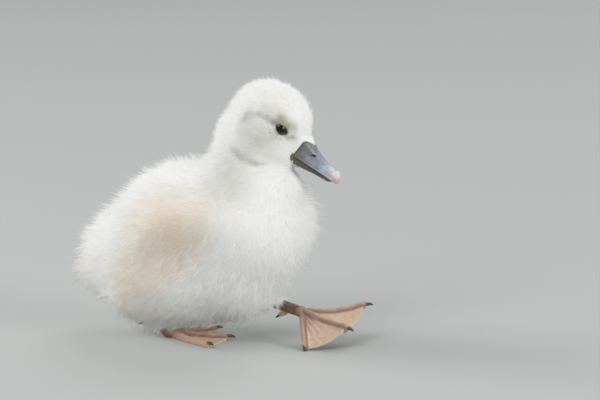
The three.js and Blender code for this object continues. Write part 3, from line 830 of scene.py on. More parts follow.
# %% [markdown]
# The nail is the hard plate at the tip, with which a swan pulls at weed. It hooks a little over the edge. We
# take a cap of a sphere, send a ray from inside the bill through each of its corners, and lay the corner where
# the ray leaves the horn, raised most in the middle. Solidify then gives the plate its thickness.

# %% nail
NAIL_FROM = head(43.6, 0, -0.8)
NAIL_UP, NAIL_SIDE, NAIL_DOWN = 78, 60, 48  # degrees it reaches from straight ahead
NAIL_CAP = 0.5  # the cap is what lies above this height on a sphere of radius 1
NAIL_GAP, NAIL_RISE, NAIL_THICK = 0.05, 0.42, 0.45  # mm
horn = BVHTree.FromObject(bill_upper, bpy.context.evaluated_depsgraph_get())

bm = bmesh.new()
bmesh.ops.create_uvsphere(bm, u_segments=48, v_segments=48, radius=1)
whole = bm.verts[:] + bm.edges[:] + bm.faces[:]
bmesh.ops.bisect_plane(bm, geom=whole, plane_co=(0, 0, NAIL_CAP), plane_no=(0, 0, -1), clear_outer=True)
for v in bm.verts:
    out = math.acos(min(max(v.co.z, -1), 1)) / math.acos(NAIL_CAP)
    angle = math.atan2(v.co.y, v.co.x)
    tall = NAIL_UP if math.sin(angle) > 0 else NAIL_DOWN
    reach = math.radians(math.hypot(tall * math.sin(angle), NAIL_SIDE * math.cos(angle))) * out
    ray = head_ahead * math.cos(reach) + (head_left * math.cos(angle) + head_up * math.sin(angle)) * math.sin(reach)
    hit, normal, _, _ = horn.ray_cast(NAIL_FROM, ray)
    v.co = hit + normal * (NAIL_GAP + NAIL_RISE * math.sqrt(max(1 - out**2, 0))) * MM
bmesh.ops.recalc_face_normals(bm, faces=bm.faces)
face_away(bm, NAIL_FROM)
bmesh.ops.solidify(bm, geom=bm.faces[:], thickness=NAIL_THICK * MM)
nail = new_object("bill_nail_plate", bm)
give(nail.data, "ahead", [along_bill(on_head(v.co)) for v in nail.data.vertices])
give(nail.data, "low", [smooth_step(1.8, -2.2, on_head(v.co).z) for v in nail.data.vertices])
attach(nail, "root")
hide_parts("bill_nail")
print("nail:", len(nail.data.polygons), "faces")

# %% [markdown]
# At the corner of the mouth the skin forms a soft yellow-brown fold, which lets the bill open. It is a thin
# tube along a short curve on each side, and it swells in the middle.


# %% fold at the corner of the mouth
def along_path(points, radius, side_hint, share, angle):
    """A corner of a tube whose middle runs through points and whose radius changes along it."""
    curve = [through(*[(i / (len(points) - 1), p[k]) for i, p in enumerate(points)]) for k in range(3)]
    spot = Vector([c(share) for c in curve])
    ahead = Vector([c(min(share + 0.02, 1)) - c(max(share - 0.02, 0)) for c in curve]).normalized()
    across = ahead.cross(side_hint).normalized()
    up = across.cross(ahead)
    return spot + (across * math.cos(angle) + up * math.sin(angle)) * radius(share)


FOLD = ((21.9, 7.0, -2.8), (21.4, 7.4, -4.0), (21.3, 7.5, -5.2), (21.9, 7.1, -6.6), (23.4, 6.0, -8.2))
fold_radius = through((0, 0.1), (0.25, 0.55), (0.5, 0.7), (0.75, 0.55), (1, 0.1))
folds = []
for side, way in BOTH_SIDES:
    path = [head(x, side * y, z) for x, y, z in FOLD]
    lay_fold = functools.partial(along_path, path, lambda t: fold_radius(t) * MM, head_left)
    bm = tube(around=14, rings=40, lay_corner=lay_fold)
    fold = new_object("mouth_fold_" + way, bm)
    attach(fold, "root")
    folds.append(fold)
print("folds:", [fold.name for fold in folds])

# %% [markdown]
# ## Horn of the bill
# The bill is dark and greenish at the face, blue-grey in the middle and pale towards the tip. It isn't painted:
# it is living skin over bone, so the colour clouds a little, and the surface has a fine grain with a soft gloss.
# One group makes clouds and grain, and bill, nail, eyes, lids, legs and claws all use it with values of their own.

# %% clouds and grain, as a node group
grain_group, given, result = new_group(
    "clouds_and_grain",
    {"Cloud Size": ("Float", 400.0), "Grain Size": ("Float", 3000.0)},
    {"Clouds": ("Float", None), "Grain": ("Float", None)},
)
place = add(grain_group, "ShaderNodeTexCoord").outputs["Object"]
for size_name, label, detail, roughness in (("Cloud Size", "Clouds", 4.0, 0.6), ("Grain Size", "Grain", 3.0, 0.7)):
    pattern = {"Vector": place, "Scale": given[size_name], "Detail": detail, "Roughness": roughness}
    grain_group.links.new(add(grain_group, "ShaderNodeTexNoise", pattern).outputs["Fac"], result[label])


def ramp(tree, factor, *stops):
    """Colours along a factor, given as (place, colour)."""
    made = add(tree, "ShaderNodeValToRGB", {"Fac": factor})
    made.color_ramp.elements.remove(made.color_ramp.elements[1])
    made.color_ramp.elements[0].position, made.color_ramp.elements[0].color = stops[0]
    for where, colour in stops[1:]:
        made.color_ramp.elements.new(where).color = colour
    return made.outputs["Color"]


def cloud(tree, colour, clouds, low, high, amount, paint):
    """The colour with paint laid over it where the clouds are thick."""
    return mix(tree, between(tree, clouds, low, high, 0.0, amount), colour, paint)


def roughen(tree, shader, height, distance):
    """Feeds a height to the shader's normal; the distance is in millimetres."""
    values = {"Height": height, "Distance": distance * MM, "Strength": 1.0}
    tree.links.new(add(tree, "ShaderNodeBump", values).outputs["Normal"], shader.inputs["Normal"])


# %% bill materials
horn_material, nodes, shader = new_material("bill_horn", Roughness=0.4, Specular_IOR_Level=0.45)
spots = add_group(nodes, grain_group, Cloud_Size=330.0, Grain_Size=2600.0)
shifted = calc(nodes, "ADD", attribute(nodes, "ahead"), between(nodes, spots["Clouds"], 0.3, 0.7, -0.05, 0.05))
colour = ramp(
    nodes,
    shifted,
    (0.0, srgb(80, 82, 77)),
    (0.14, srgb(110, 112, 108)),
    (0.3, srgb(130, 132, 138)),
    (0.48, srgb(142, 144, 158)),
    (0.58, srgb(148, 152, 168)),
    (0.64, srgb(164, 169, 184)),
    (0.82, srgb(186, 191, 200)),
    (0.92, srgb(208, 206, 204)),
)
cloudy = between(nodes, spots["Clouds"], 0.35, 0.65, 0.86, 1.06)
colour = mix(nodes, 1.0, colour, grey(nodes, cloudy), "MULTIPLY")
for name, amount, paint in (
    ("low_tip", 0.75, srgb(198, 164, 148)),
    ("edge", 0.55, srgb(186, 184, 188)),
    # painted shade between the two halves of the bill
    ("gap", 0.9, srgb(44, 44, 42)),
    ("lobe", 0.7, srgb(150, 158, 138)),
    ("lip", 0.75, srgb(176, 164, 150)),
    # painted shade in the groove round the lobe
    ("ring", 0.8, srgb(44, 46, 42)),
    ("gape", 0.6, srgb(112, 90, 56)),
    ("rim", 0.85, srgb(40, 40, 36)),
    # painted shade in the nostril's opening
    ("hole", 1.0, srgb(14, 11, 10)),
):
    colour = tinge(nodes, colour, attribute(nodes, name), amount, paint)
nodes.links.new(colour, shader.inputs["Base Color"])
nodes.links.new(between(nodes, spots["Clouds"], 0.3, 0.7, 0.34, 0.46), shader.inputs["Roughness"])
roughen(nodes, shader, spots["Grain"], 0.05)

lower_material, nodes, shader = new_material("bill_lower_horn", Roughness=0.45)
spots = add_group(nodes, grain_group, Cloud_Size=500.0, Grain_Size=2600.0)
colour = ramp(
    nodes,
    attribute(nodes, "ahead"),
    (0.0, srgb(104, 94, 58)),
    (0.22, srgb(88, 86, 74)),
    (0.6, srgb(82, 84, 84)),
    (1.0, srgb(128, 116, 112)),
)
colour = cloud(nodes, colour, spots["Clouds"], 0.4, 0.7, 0.35, srgb(104, 100, 92))
# painted shade where the upper half closes over the lower
colour = tinge(nodes, colour, attribute(nodes, "gap"), 0.7, srgb(40, 40, 38))
colour = tinge(nodes, colour, attribute(nodes, "gape"), 0.7, srgb(126, 114, 66))
nodes.links.new(colour, shader.inputs["Base Color"])
roughen(nodes, shader, spots["Grain"], 0.05)

fold_material, nodes, shader = new_material("mouth_fold", Roughness=0.5)
spots = add_group(nodes, grain_group, Cloud_Size=900.0, Grain_Size=3000.0)
colour = ramp(nodes, spots["Clouds"], (0.3, srgb(84, 58, 28)), (0.55, srgb(132, 98, 50)), (0.75, srgb(146, 96, 62)))
nodes.links.new(colour, shader.inputs["Base Color"])
roughen(nodes, shader, spots["Grain"], 0.06)

nail_material, nodes, shader = new_material("bill_nail", Roughness=0.32, Coat_Weight=0.15, Coat_Roughness=0.2)
spots = add_group(nodes, grain_group, Cloud_Size=500.0, Grain_Size=2600.0)
colour = ramp(
    nodes,
    attribute(nodes, "ahead"),
    (0.82, srgb(200, 203, 205)),
    (0.92, srgb(222, 216, 210)),
    (1.0, srgb(222, 206, 194)),
)
colour = mix(nodes, attribute(nodes, "low"), colour, srgb(206, 168, 150))
colour = cloud(nodes, colour, spots["Clouds"], 0.45, 0.75, 0.3, srgb(188, 168, 150))
nodes.links.new(colour, shader.inputs["Base Color"])
roughen(nodes, shader, spots["Grain"], 0.04)

bill_upper.data.materials.append(horn_material)
bill_lower.data.materials.append(lower_material)
nail.data.materials.append(nail_material)
for fold in folds:
    fold.data.materials.append(fold_material)
print("bill materials:", horn_material.name, lower_material.name, nail_material.name, fold_material.name)

# %% [markdown]
# ## Eyes and lids
# The eye is a ball, nearly black, with a bulge where its clear front is. Bird lids are thin, and what shows
# between them is an almond, pointed at the front where the tear duct lies. Lids are made as a sheet that starts
# at that almond, lies on the ball, and runs out under the down; a rolled rim keeps its edge soft.

# %% eyeballs
EYE_RADIUS = (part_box("eye_left")[1].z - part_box("eye_left")[0].z) / 2
CORNEA, CORNEA_REACH = 0.35 * MM, math.radians(30)
ALMOND_TURN = math.radians(-10)  # its front corner lies a little lower than straight ahead
eyes = {}
bald = {}  # where pieces other than the skin carry no down


def angle_from(direction, axis):
    return math.acos(min(max(direction.normalized().dot(axis), -1), 1))


for _, way in BOTH_SIDES:
    centre = middle("eye_" + way)
    axis = (centre - head(2.5, 0, 3.6)).normalized()  # out, a little ahead and up
    bm = bmesh.new()
    bmesh.ops.create_uvsphere(bm, u_segments=56, v_segments=36, radius=EYE_RADIUS)
    bmesh.ops.rotate(bm, verts=bm.verts, matrix=axis.to_track_quat("Z", "Y").to_matrix())
    for v in bm.verts:
        v.co += axis * CORNEA * hump(angle_from(v.co, axis), CORNEA_REACH)
    bmesh.ops.translate(bm, verts=bm.verts, vec=centre)
    ball = new_object("eyeball_" + way, bm)
    give(ball.data, "off_axis", [math.degrees(angle_from(v.co - centre, axis)) / 90 for v in ball.data.vertices])
    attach(ball, "root")
    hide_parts("eye_" + way)
    eyes[way] = (ball, centre, axis)
print("eye radius mm:", round(EYE_RADIUS / MM, 2))

# %% lids
ALMOND = (4.2, 3.4, 2.15, 2.0)  # mm from the axis to the front corner, the rear corner, the upper and lower lid
ALMOND_SHIFT = 0.35  # mm it lies ahead of the axis
LID_OUT, RIM_ROLL = 2.0, 0.3  # mm it runs out under the down, and its rim swells
SHEET_THICK = 0.3  # mm, of thin skin
EYE_SPAN = 8  # mm from the eye's middle, past which the skin isn't looked at
skin_surface = BVHTree.FromObject(skin, bpy.context.evaluated_depsgraph_get())


def almond_ways(axis):
    """The directions along and up the almond, square to the eye's axis."""
    flat_ahead = (head_ahead - axis * head_ahead.dot(axis)).normalized()
    flat_up = (head_up - axis * head_up.dot(axis)).normalized()
    long_way = flat_ahead * math.cos(ALMOND_TURN) + flat_up * math.sin(ALMOND_TURN)
    return long_way, flat_up * math.cos(ALMOND_TURN) - flat_ahead * math.sin(ALMOND_TURN)


def lid_corner(centre, axis):
    """Lays a lid's corners: first rolled along the almond on the ball, then as a sheet under the down."""
    long_way, tall_way = almond_ways(axis)

    def place(share, angle):
        c, s = math.cos(angle), math.sin(angle)
        u = (ALMOND[0] if c > 0 else ALMOND[1]) * c
        w = (ALMOND[2] if s > 0 else ALMOND[3]) * signed_power(s, 1.1 + 0.25 * max(c, 0) ** 2)
        grow = 1 + LID_OUT * share / math.hypot(u, w)
        u, w = u * grow + ALMOND_SHIFT, w * grow
        spot = centre + (long_way * u + tall_way * w) * MM
        hit = skin_surface.ray_cast(spot + axis * 9 * MM, -axis)[0]
        down_to_skin = (hit - centre).dot(axis) / MM if hit else 2.0
        on_ball = math.sqrt(max((EYE_RADIUS / MM) ** 2 - u * u - w * w, 0.0))
        roll = RIM_ROLL * math.sin(math.pi * min(share * 2.2, 1) ** 0.7)
        rolled = max(on_ball, down_to_skin - max(0.6 - 6 * share, 0)) + 0.05 + roll
        sheet = max(down_to_skin + 0.25 - 0.8 * share, on_ball + 0.2)
        settle = smooth_step(0.1, 0.6, share)
        return spot + axis * (rolled * (1 - settle) + sheet * settle) * MM

    return place


for way, (ball, centre, axis) in eyes.items():
    place = lid_corner(centre, axis)
    bm = tube(around=72, rings=16, lay_corner=place, capped=False)
    face_away(bm, centre)
    bmesh.ops.solidify(bm, geom=bm.faces[:], thickness=SHEET_THICK * MM)
    lids = new_object("lids_" + way, bm)
    rim = [place(0, math.radians(k * 5)) for k in range(72)]
    from_rim = [min((v.co - r).length for r in rim) / MM for v in lids.data.vertices]
    give(lids.data, "rim", [hump(d, 0.36) for d in from_rim])
    outside = [v.normal.dot(v.co - centre) > 0 for v in lids.data.vertices]
    # how far a point lies above the eye's middle; the lid material paints the upper lid darker with it, as painted
    # shade
    above = [smooth_step(-1, 1, (v.co - centre).dot(head_up) / MM) for v in lids.data.vertices]
    give(lids.data, "above", above)
    from_front = [(v.co - rim[0]).length / MM for v in lids.data.vertices]
    give(lids.data, "duct", [hump(d, 1.15) for d in from_front])
    near_rim = [1 - smooth_step(0.45, 0.9, d) for d in from_rim]
    near_front = [1 - smooth_step(1.3, 1.9, d) for d in from_front]
    bald["lids_" + way] = [max(r, f) if out else 1 for r, f, out in zip(near_rim, near_front, outside)]
    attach(lids, "root")
    eyes[way] = (ball, centre, axis, lids)

# between the lids the skin carries no down
socket = np.zeros(len(skin.data.vertices))
for ball, centre, axis, lids in eyes.values():
    long_way, tall_way = almond_ways(axis)
    for i, v in enumerate(skin.data.vertices):
        away = v.co - centre
        if away.length < EYE_SPAN * MM and away.dot(axis) > 0:
            u, w = away.dot(long_way) / MM - ALMOND_SHIFT, away.dot(tall_way) / MM
            out = math.hypot(u / ALMOND[0 if u > 0 else 1], w / ALMOND[2 if w > 0 else 3])
            socket[i] = max(socket[i], 1 - smooth_step(1.0, 1.35, out))
# the skin's material also paints this place dark, as painted shade in the socket
give(skin.data, "socket", socket)
bare[:] = np.maximum(bare, socket)
print("lids:", ALMOND[0] + ALMOND[1], "mm long,", ALMOND[2] + ALMOND[3], "mm high")

# %% eye and lid materials
eye_material, nodes, shader = new_material(
    "eye_gloss", Roughness=0.2, Specular_IOR_Level=0.25, Coat_Weight=0.25, Coat_Roughness=0.1
)
spots = add_group(nodes, grain_group, Cloud_Size=1500.0, Grain_Size=4000.0)
colour = ramp(
    nodes,
    attribute(nodes, "off_axis"),
    (0.0, srgb(6, 5, 5)),
    (0.27, srgb(8, 6, 6)),
    (0.33, srgb(26, 17, 12)),
    (0.5, srgb(22, 14, 11)),
    (0.62, srgb(12, 9, 8)),
)
colour = cloud(nodes, colour, spots["Clouds"], 0.35, 0.7, 0.4, srgb(10, 8, 8))
nodes.links.new(colour, shader.inputs["Base Color"])

lid_material, nodes, shader = new_material("lids", Roughness=0.5)
spots = add_group(nodes, grain_group, Cloud_Size=800.0, Grain_Size=3500.0)
# the upper lid is painted a darker olive than the lower, as the shade under the brow
above = ramp(nodes, spots["Clouds"], (0.3, srgb(112, 110, 88)), (0.7, srgb(154, 152, 126)))
below = ramp(nodes, spots["Clouds"], (0.3, srgb(160, 160, 146)), (0.7, srgb(200, 200, 184)))
colour = mix(nodes, attribute(nodes, "above"), below, above)
colour = mix(nodes, attribute(nodes, "rim"), colour, srgb(52, 44, 38))
colour = tinge(nodes, colour, attribute(nodes, "duct"), 0.85, srgb(74, 62, 36))
nodes.links.new(colour, shader.inputs["Base Color"])
roughen(nodes, shader, spots["Grain"], 0.05)
for ball, _, _, lids in eyes.values():
    ball.data.materials.append(eye_material)
    lids.data.materials.append(lid_material)
print("eye materials:", eye_material.name, lid_material.name)

# %% [markdown]
# ## Where the face meets the bill
# The down doesn't fade out on the bill: it stops at a sharp dark line, straight up the side and then in a wedge
# along the ridge. We take the bill's own faces behind that line, raise them a hair, and treat them as face skin,
# so that the shortest down can grow right up to the edge.

# %% face skin on the bill
FACE_RISE, FACE_SLOPE = 0.2, 0.26  # mm above the horn at its edge, and how fast it rises behind
FACE_BACK = 4.5  # mm it runs back under the skin of the head


def face_skin(name, horn, line, keep):
    """The horn's faces behind a line, where keep says so, as a thin raised sheet."""
    bm = bmesh.new()
    bm.from_mesh(horn.data)
    for f in list(bm.faces):
        p = on_head(f.calc_center_median())
        if not line(p.y) - FACE_BACK - max(6 - abs(p.y), 0) < p.x < line(p.y) or not keep(p):
            bm.faces.remove(f)
    bmesh.ops.delete(bm, geom=[v for v in bm.verts if not v.link_faces], context="VERTS")
    bm.normal_update()
    for v in bm.verts:
        p = on_head(v.co)
        v.co += v.normal * (FACE_RISE + FACE_SLOPE * min(max(line(p.y) - p.x, 0), 5)) * MM
    bmesh.ops.solidify(bm, geom=bm.faces[:], thickness=SHEET_THICK * MM)
    piece = new_object(name, bm)
    within = [head(on_head(v.co).x, 0, -1) for v in piece.data.vertices]
    bald[name] = [float(v.normal.dot(v.co - axis) < 0) for v, axis in zip(piece.data.vertices, within)]
    piece.data.materials.append(skin_material)
    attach(piece, "root")
    return piece


face_skins = [
    face_skin("face_skin_forehead", bill_upper, base_line, lambda p: p.z > mouth(p.x) + 1.4),
    face_skin("face_skin_chin", bill_lower, chin_line, lambda p: p.z < mouth(p.x) - 2.6),
]
print("face skin faces:", [len(piece.data.polygons) for piece in face_skins])

# %% [markdown]
# ## The lie of the coat
# Down doesn't stand straight up: it is combed. From the bill it runs back over the crown and the cheeks, down
# the neck, straight down the breast, and slantwise back along the flanks to the tail. We pin a direction to some
# fifty spots, as a groomer would with a comb, and every point of the skin takes the blend of the nearest pins,
# laid flat against the skin.

# %% comb the skin
pins = [
    (head(23, 0, 6), lie(-0.8, 0, 0.6)),  # forehead
    (head(15, 0, 14), lie(-0.7, 0, 0.7)),
    (head(3, 0, 20), lie(-1, 0, 0)),  # crown
    (head(-10, 0, 17), lie(-0.8, 0, -0.6)),
    (head(-19, 0, 3), lie(-0.2, 0, -1)),  # back of the head
    (head(17, 0, -12), lie(-1, 0, -0.1)),  # chin
    (head(6, 0, -17), lie(-1, 0, 0)),
    (at("neck", 0.1, 0.5, 0.5), Vector((-0.35, 0, -1))),  # nape
    (at("neck", 0.95, 0.5, 0.4), Vector((0.25, 0, -1))),  # throat
    (at("trunk", 0.98, 0.5, 0.72), Vector((0.15, 0, -1))),  # breast
    (at("trunk", 0.95, 0.5, 0.4), Vector((-0.25, 0, -1))),
    (at("trunk", 0.8, 0.5, 0.12), Vector((-0.8, 0, -0.6))),
    (at("trunk", 0.5, 0.5, 0.0), Vector((-1, 0, 0))),  # belly
    (at("trunk", 0.1, 0.5, 0.05), Vector((-1, 0, 0.15))),
    (at("trunk", 0.42, 0.5, 0.98), Vector((-1, 0, -0.2))),  # back
    (at("trunk", 0.2, 0.5, 0.85), Vector((-0.9, 0, -0.5))),
    (at("tail", 0.3, 0.5, 0.95), Vector((-0.9, 0, -0.5))),
    (at("tail", 0.0, 0.5, 0.4), Vector((-0.8, 0, -0.6))),
    (at("tail", 0.3, 0.5, 0.0), Vector((-1, 0, 0.1))),
]
for side, way in BOTH_SIDES:
    out = side * 0.5
    pins += [
        (head(18, side * 10, 3), lie(-1, side * 0.3, 0.15)),  # before the eye
        (head(20, side * 8, -8), lie(-1, side * 0.3, -0.2)),  # corner of the mouth
        (head(8, side * 16, -6), lie(-1, 0, -0.25)),  # cheek
        (head(8, side * 14, 12), lie(-1, 0, 0.15)),  # brow
        (head(-6, side * 18, 3), lie(-0.9, 0, -0.4)),
        (head(-8, side * 16, -10), lie(-0.7, 0, -0.75)),  # below the ear
        (at("neck", 0.5, 0.5 + out * 0.98, 0.4), Vector((-0.1, 0, -1))),
        (at("trunk", 0.85, 0.5 + out * 0.7, 0.7), Vector((-0.15, side * 0.1, -1))),
        (at("trunk", 0.8, 0.5 + out * 0.75, 0.4), Vector((-0.45, 0, -0.9))),
        (at("trunk", 0.6, 0.5 + out * 0.95, 0.75), Vector((-0.5, 0, -0.75))),
        (at("trunk", 0.55, 0.5 + out, 0.45), Vector((-0.75, 0, -0.7))),  # flank
        (at("trunk", 0.6, 0.5 + out * 0.8, 0.12), Vector((-0.85, 0, -0.5))),
        (at("trunk", 0.3, 0.5 + out * 0.9, 0.6), Vector((-0.85, 0, -0.5))),
        (at("trunk", 0.2, 0.5 + out * 0.8, 0.3), Vector((-0.9, 0, -0.45))),
        (at("trunk", 0.45, 0.5 + out * 0.6, 0.95), Vector((-0.9, side * 0.2, -0.3))),
        (at("wing_" + way, 0.4, 0.5, 0.5), Vector((-0.8, 0, -0.55))),
        (at("thigh_" + way, 0.5, 0.5 + out, 0.4), Vector((-0.2, 0, -1))),
    ]
pin_at = np.array([tuple(place / MM) for place, _ in pins])
pin_way = np.array([tuple(way.normalized()) for _, way in pins])


def numbers(collection, name, width=1, kind=np.float32):
    found = np.empty(len(collection) * width, kind)
    collection.foreach_get(name, found)
    return found.reshape(-1, width) if width > 1 else found


def unit(vectors):
    return vectors / np.maximum(np.linalg.norm(vectors, axis=1, keepdims=True), 1e-9)


def flat(vectors, normals):
    """Vectors laid against the surface."""
    return unit(vectors - (vectors * normals).sum(1, keepdims=True) * normals)


PIN_REACH = 7  # mm, within which one pin rules
grown = [skin, *face_skins, *(lids for *_, lids in eyes.values())]  # everything that carries down
skin_at = np.concatenate([numbers(piece.data.vertices, "co", 3) for piece in grown]).astype(float)
skin_out = np.concatenate([numbers(piece.data.vertices, "normal", 3) for piece in grown]).astype(float)
apart = ((skin_at[:, None] / MM - pin_at) ** 2).sum(2) + PIN_REACH**2
pull = 1 / apart**2
combed = flat(pull @ pin_way / pull.sum(1, keepdims=True), skin_out)
coat = np.vstack([coat, np.tile(FACE, (len(skin_at) - len(coat), 1))])
region = np.append(region, np.zeros(len(coat) - len(region), int))
bare = np.concatenate([bare, *(bald[piece.name] for piece in grown[1:])])
print("pins:", len(pins), "skin points combed:", len(combed))

# %% [markdown]
# ## Growing the down
# A tuft of down is a bundle of barbs finer than a hair, a few millimetres long. Hair particles would make the
# barbs, but an export drops them, so each tuft here is one thin closed spike of seven corners, bent once,
# three-sided, and about as wide as a pencil line. They are made as arrays: pick a root on the skin, rise along the
# normal, bend into the lie of the coat, and lean a little towards a neighbour's tip, which is what gives the
# outline its soft points. Their roots are spread by area and by how dense the coat of that region is.

# %% roots
SEED = 7
rng = np.random.default_rng(SEED)  # with a seed, every run grows the same coat


def cut_in_threes(mesh):
    """Faces cut into triangles from their lowest-numbered corner, and sorted, as operators may start them anywhere."""
    cut = []
    for face in mesh.polygons:
        ring = list(face.vertices)
        first = ring.index(min(ring))
        ring = ring[first:] + ring[:first]
        cut += [(ring[0], second, third) for second, third in zip(ring[1:], ring[2:])]
    return np.array(sorted(cut), np.int32)


skin.data.calc_loop_triangles()
corners = [numbers(skin.data.loop_triangles, "vertices", 3, np.int32)]
for piece in grown[1:]:
    before = sum(len(earlier.data.vertices) for earlier in grown[: len(corners)])
    corners.append(cut_in_threes(piece.data) + before)
corners = np.concatenate(corners)
triangles = skin_at[corners]
square = np.cross(triangles[:, 1] - triangles[:, 0], triangles[:, 2] - triangles[:, 0])
areas = np.linalg.norm(square, axis=1) / 2 / MM**2
growth = coat[corners, DENSITY].mean(1) * (1 - bare[corners].max(1)) * areas
TUFTS = round(float(growth.sum()))
print("skin", round(areas.sum()), "sq mm, tufts:", TUFTS)

steps = (np.arange(TUFTS) + rng.random(TUFTS)) / TUFTS * growth.sum()
face = np.searchsorted(np.cumsum(growth), steps).clip(0, len(corners) - 1)
share = rng.random((TUFTS, 2))
over = share.sum(1) > 1
share[over] = 1 - share[over]
share = np.column_stack([share, 1 - share.sum(1)])


def spread(values):
    """A field of the skin's vertices, read at every root."""
    return np.einsum("ij,ij...->i...", share, values[corners[face]])


root = spread(skin_at)
out_way = unit(spread(skin_out))
lay = flat(spread(combed), out_way)
habit = spread(coat)
nearest = corners[face, share.argmax(1)]
root_region = region[nearest]
skin_map = np.zeros((len(skin.data.vertices), 2))
skin_map[numbers(skin.data.loops, "vertex_index", 1, np.int32)] = numbers(skin.data.uv_layers[BAKE_MAP].uv, "vector", 2)
root_map = skin_map[nearest % len(skin_map)]

# %% [markdown]
# Neighbouring tufts share most of their direction and differ a little, so each gets a slow wave from a noise
# field, a turn shared by its clump, and a small turn of its own. A few stray ones stand up and out: these make
# the halo against the light.

# %% bend and lean
CLUMP_SPACING = 2.6  # mm between the middles of two clumps on the body
WAVE = 9  # mm, the size of the slow turns in the coat
WAVE_TURN, CLUMP_TURN, OWN_TURN = 0.45, 0.28, 0.16  # radians a tuft may turn aside
CLUMP_RUFFLE, OWN_RUFFLE = 0.16, 0.12  # shares by which its lift may differ
STRAY = 0.13  # share of tufts that stand out
STRAY_LIFT, STRAY_TIP, STRAY_LENGTH = 0.35, 22, 0.2  # how much more they lift, in degrees at the tip, and grow
ROOT_LIFTS, TIP_LIFTS = (8, 80), (3, 70)  # degrees, the least and the most

size_of = habit[:, LENGTH] / COAT["trunk"][LENGTH]
order = rng.random(TUFTS) * (CLUMP_SPACING * size_of) ** 2 * habit[:, DENSITY]
leaders = np.nonzero(order < 1)[0]
tree = KDTree(len(leaders))
for i, leader in enumerate(leaders):
    tree.insert(root[leader], i)
tree.balance()
leader_of = leaders[[tree.find(place)[1] for place in root]]

noise.seed_set(SEED)  # without a seed, noise vectors start from the time of day
wave = np.array([noise.noise_vector(Vector(place / (WAVE * MM))).x for place in root])
turn = WAVE_TURN * wave + CLUMP_TURN * rng.standard_normal(TUFTS)[leader_of] + OWN_TURN * rng.standard_normal(TUFTS)
sideways = np.cross(out_way, lay)
lay = lay * np.cos(turn)[:, None] + sideways * np.sin(turn)[:, None]

stray = rng.random(TUFTS) < STRAY
ruffle = 1 + CLUMP_RUFFLE * rng.standard_normal(TUFTS)[leader_of]
lift = ruffle * (1 + OWN_RUFFLE * rng.standard_normal(TUFTS)) + STRAY_LIFT * stray
lift_root = np.radians((habit[:, ROOT_LIFT] * lift).clip(*ROOT_LIFTS))
lift_tip = np.radians((habit[:, TIP_LIFT] * lift + STRAY_TIP * stray).clip(*TIP_LIFTS))
length = habit[:, LENGTH] * (0.85 + 0.3 * rng.random(TUFTS)) * (1 + 0.1 * rng.standard_normal(TUFTS)[leader_of])
length = (length * (1 + STRAY_LENGTH * stray))[:, None] * MM


def along(lift):
    return lay * np.cos(lift)[:, None] + out_way * np.sin(lift)[:, None]


KNEE = 0.42  # share of the length before the bend
ROOTED = 0.3  # mm it starts below the skin
root = root - out_way * ROOTED * MM
knee = root + along(lift_root) * length * KNEE
tip = knee + along(lift_tip) * length * (1 - KNEE)
lean = (habit[:, LEAN] * (1 - 0.8 * stray))[:, None]
tip = tip + lean * (tip[leader_of] - tip)
knee = knee + 0.3 * lean * (knee[leader_of] - knee)
print("clumps:", len(leaders), "tip height mm:", round(float(((tip - root) * out_way).sum(1).mean() / MM), 2))

# %% [markdown]
# Now the spikes themselves. Each has a ring of three corners at the root, one at the knee and a single tip. All
# tufts share that pattern, so their corners and faces are laid out as whole arrays, which takes a moment where
# a loop would take minutes. Each tuft's patch of the bake map lies where its root lies on the skin's own
# unwrap, so a baked coat keeps the skin's markings.

# %% shape the spikes
PATCH = 0.003  # of the bake map, for one tuft
PATCH_SHAPE = np.array([(0, 0), (0.5, 0.2), (1, 0), (0, 0.6), (0.5, 0.75), (1, 0.6), (0.5, 1)]) - 0.5
FACES = [(2, 1, 0), (0, 1, 4, 3), (1, 2, 5, 4), (2, 0, 3, 5), (3, 4, 6), (4, 5, 6), (5, 3, 6)]
SIDES = [len(f) for f in FACES]
PATTERN = np.array([c for f in FACES for c in f])
CORNERS = len(PATCH_SHAPE)
RING_WIDTH = 1.7  # a ring of three corners is this many radii wide
CLEAR_OF_FLOOR = 0.1 * MM

across = unit(np.cross(lay, out_way))
radius = (habit[:, WIDTH] * (0.8 + 0.4 * rng.random(TUFTS)) * (1 + 0.1 * stray))[:, None] * MM / RING_WIDTH
spin = rng.random(TUFTS) * 2 * math.pi


def ring(centre, ahead, reach):
    """Three corners round a tuft, seen anticlockwise from its tip."""
    up = unit(np.cross(across, ahead))
    turns = [spin + k * 2 * math.pi / 3 for k in range(3)]
    return [centre + reach * (across * np.cos(t)[:, None] - up * np.sin(t)[:, None]) for t in turns]


spikes = np.stack(ring(root, unit(knee - root), radius) + ring(knee, unit(tip - root), radius * 0.8) + [tip], axis=1)
spikes[..., 2] = spikes[..., 2].clip(CLEAR_OF_FLOOR)
tint = rng.random(TUFTS)
print("corners:", spikes.shape[0] * spikes.shape[1])


# %% [markdown]
# Real down glows, because light passes from barb to barb. Solid spikes would shade each other to grey instead.
# Two settings bring the glow back: each spike borrows most of its shading direction from the skin under it, and
# the coat doesn't block the lamps' light on its way to itself. The skin below still casts the bird's shadow.

# %% make the coat's pieces
OWN_SHADING = 0.32  # how much of a tuft's shading follows its own sides


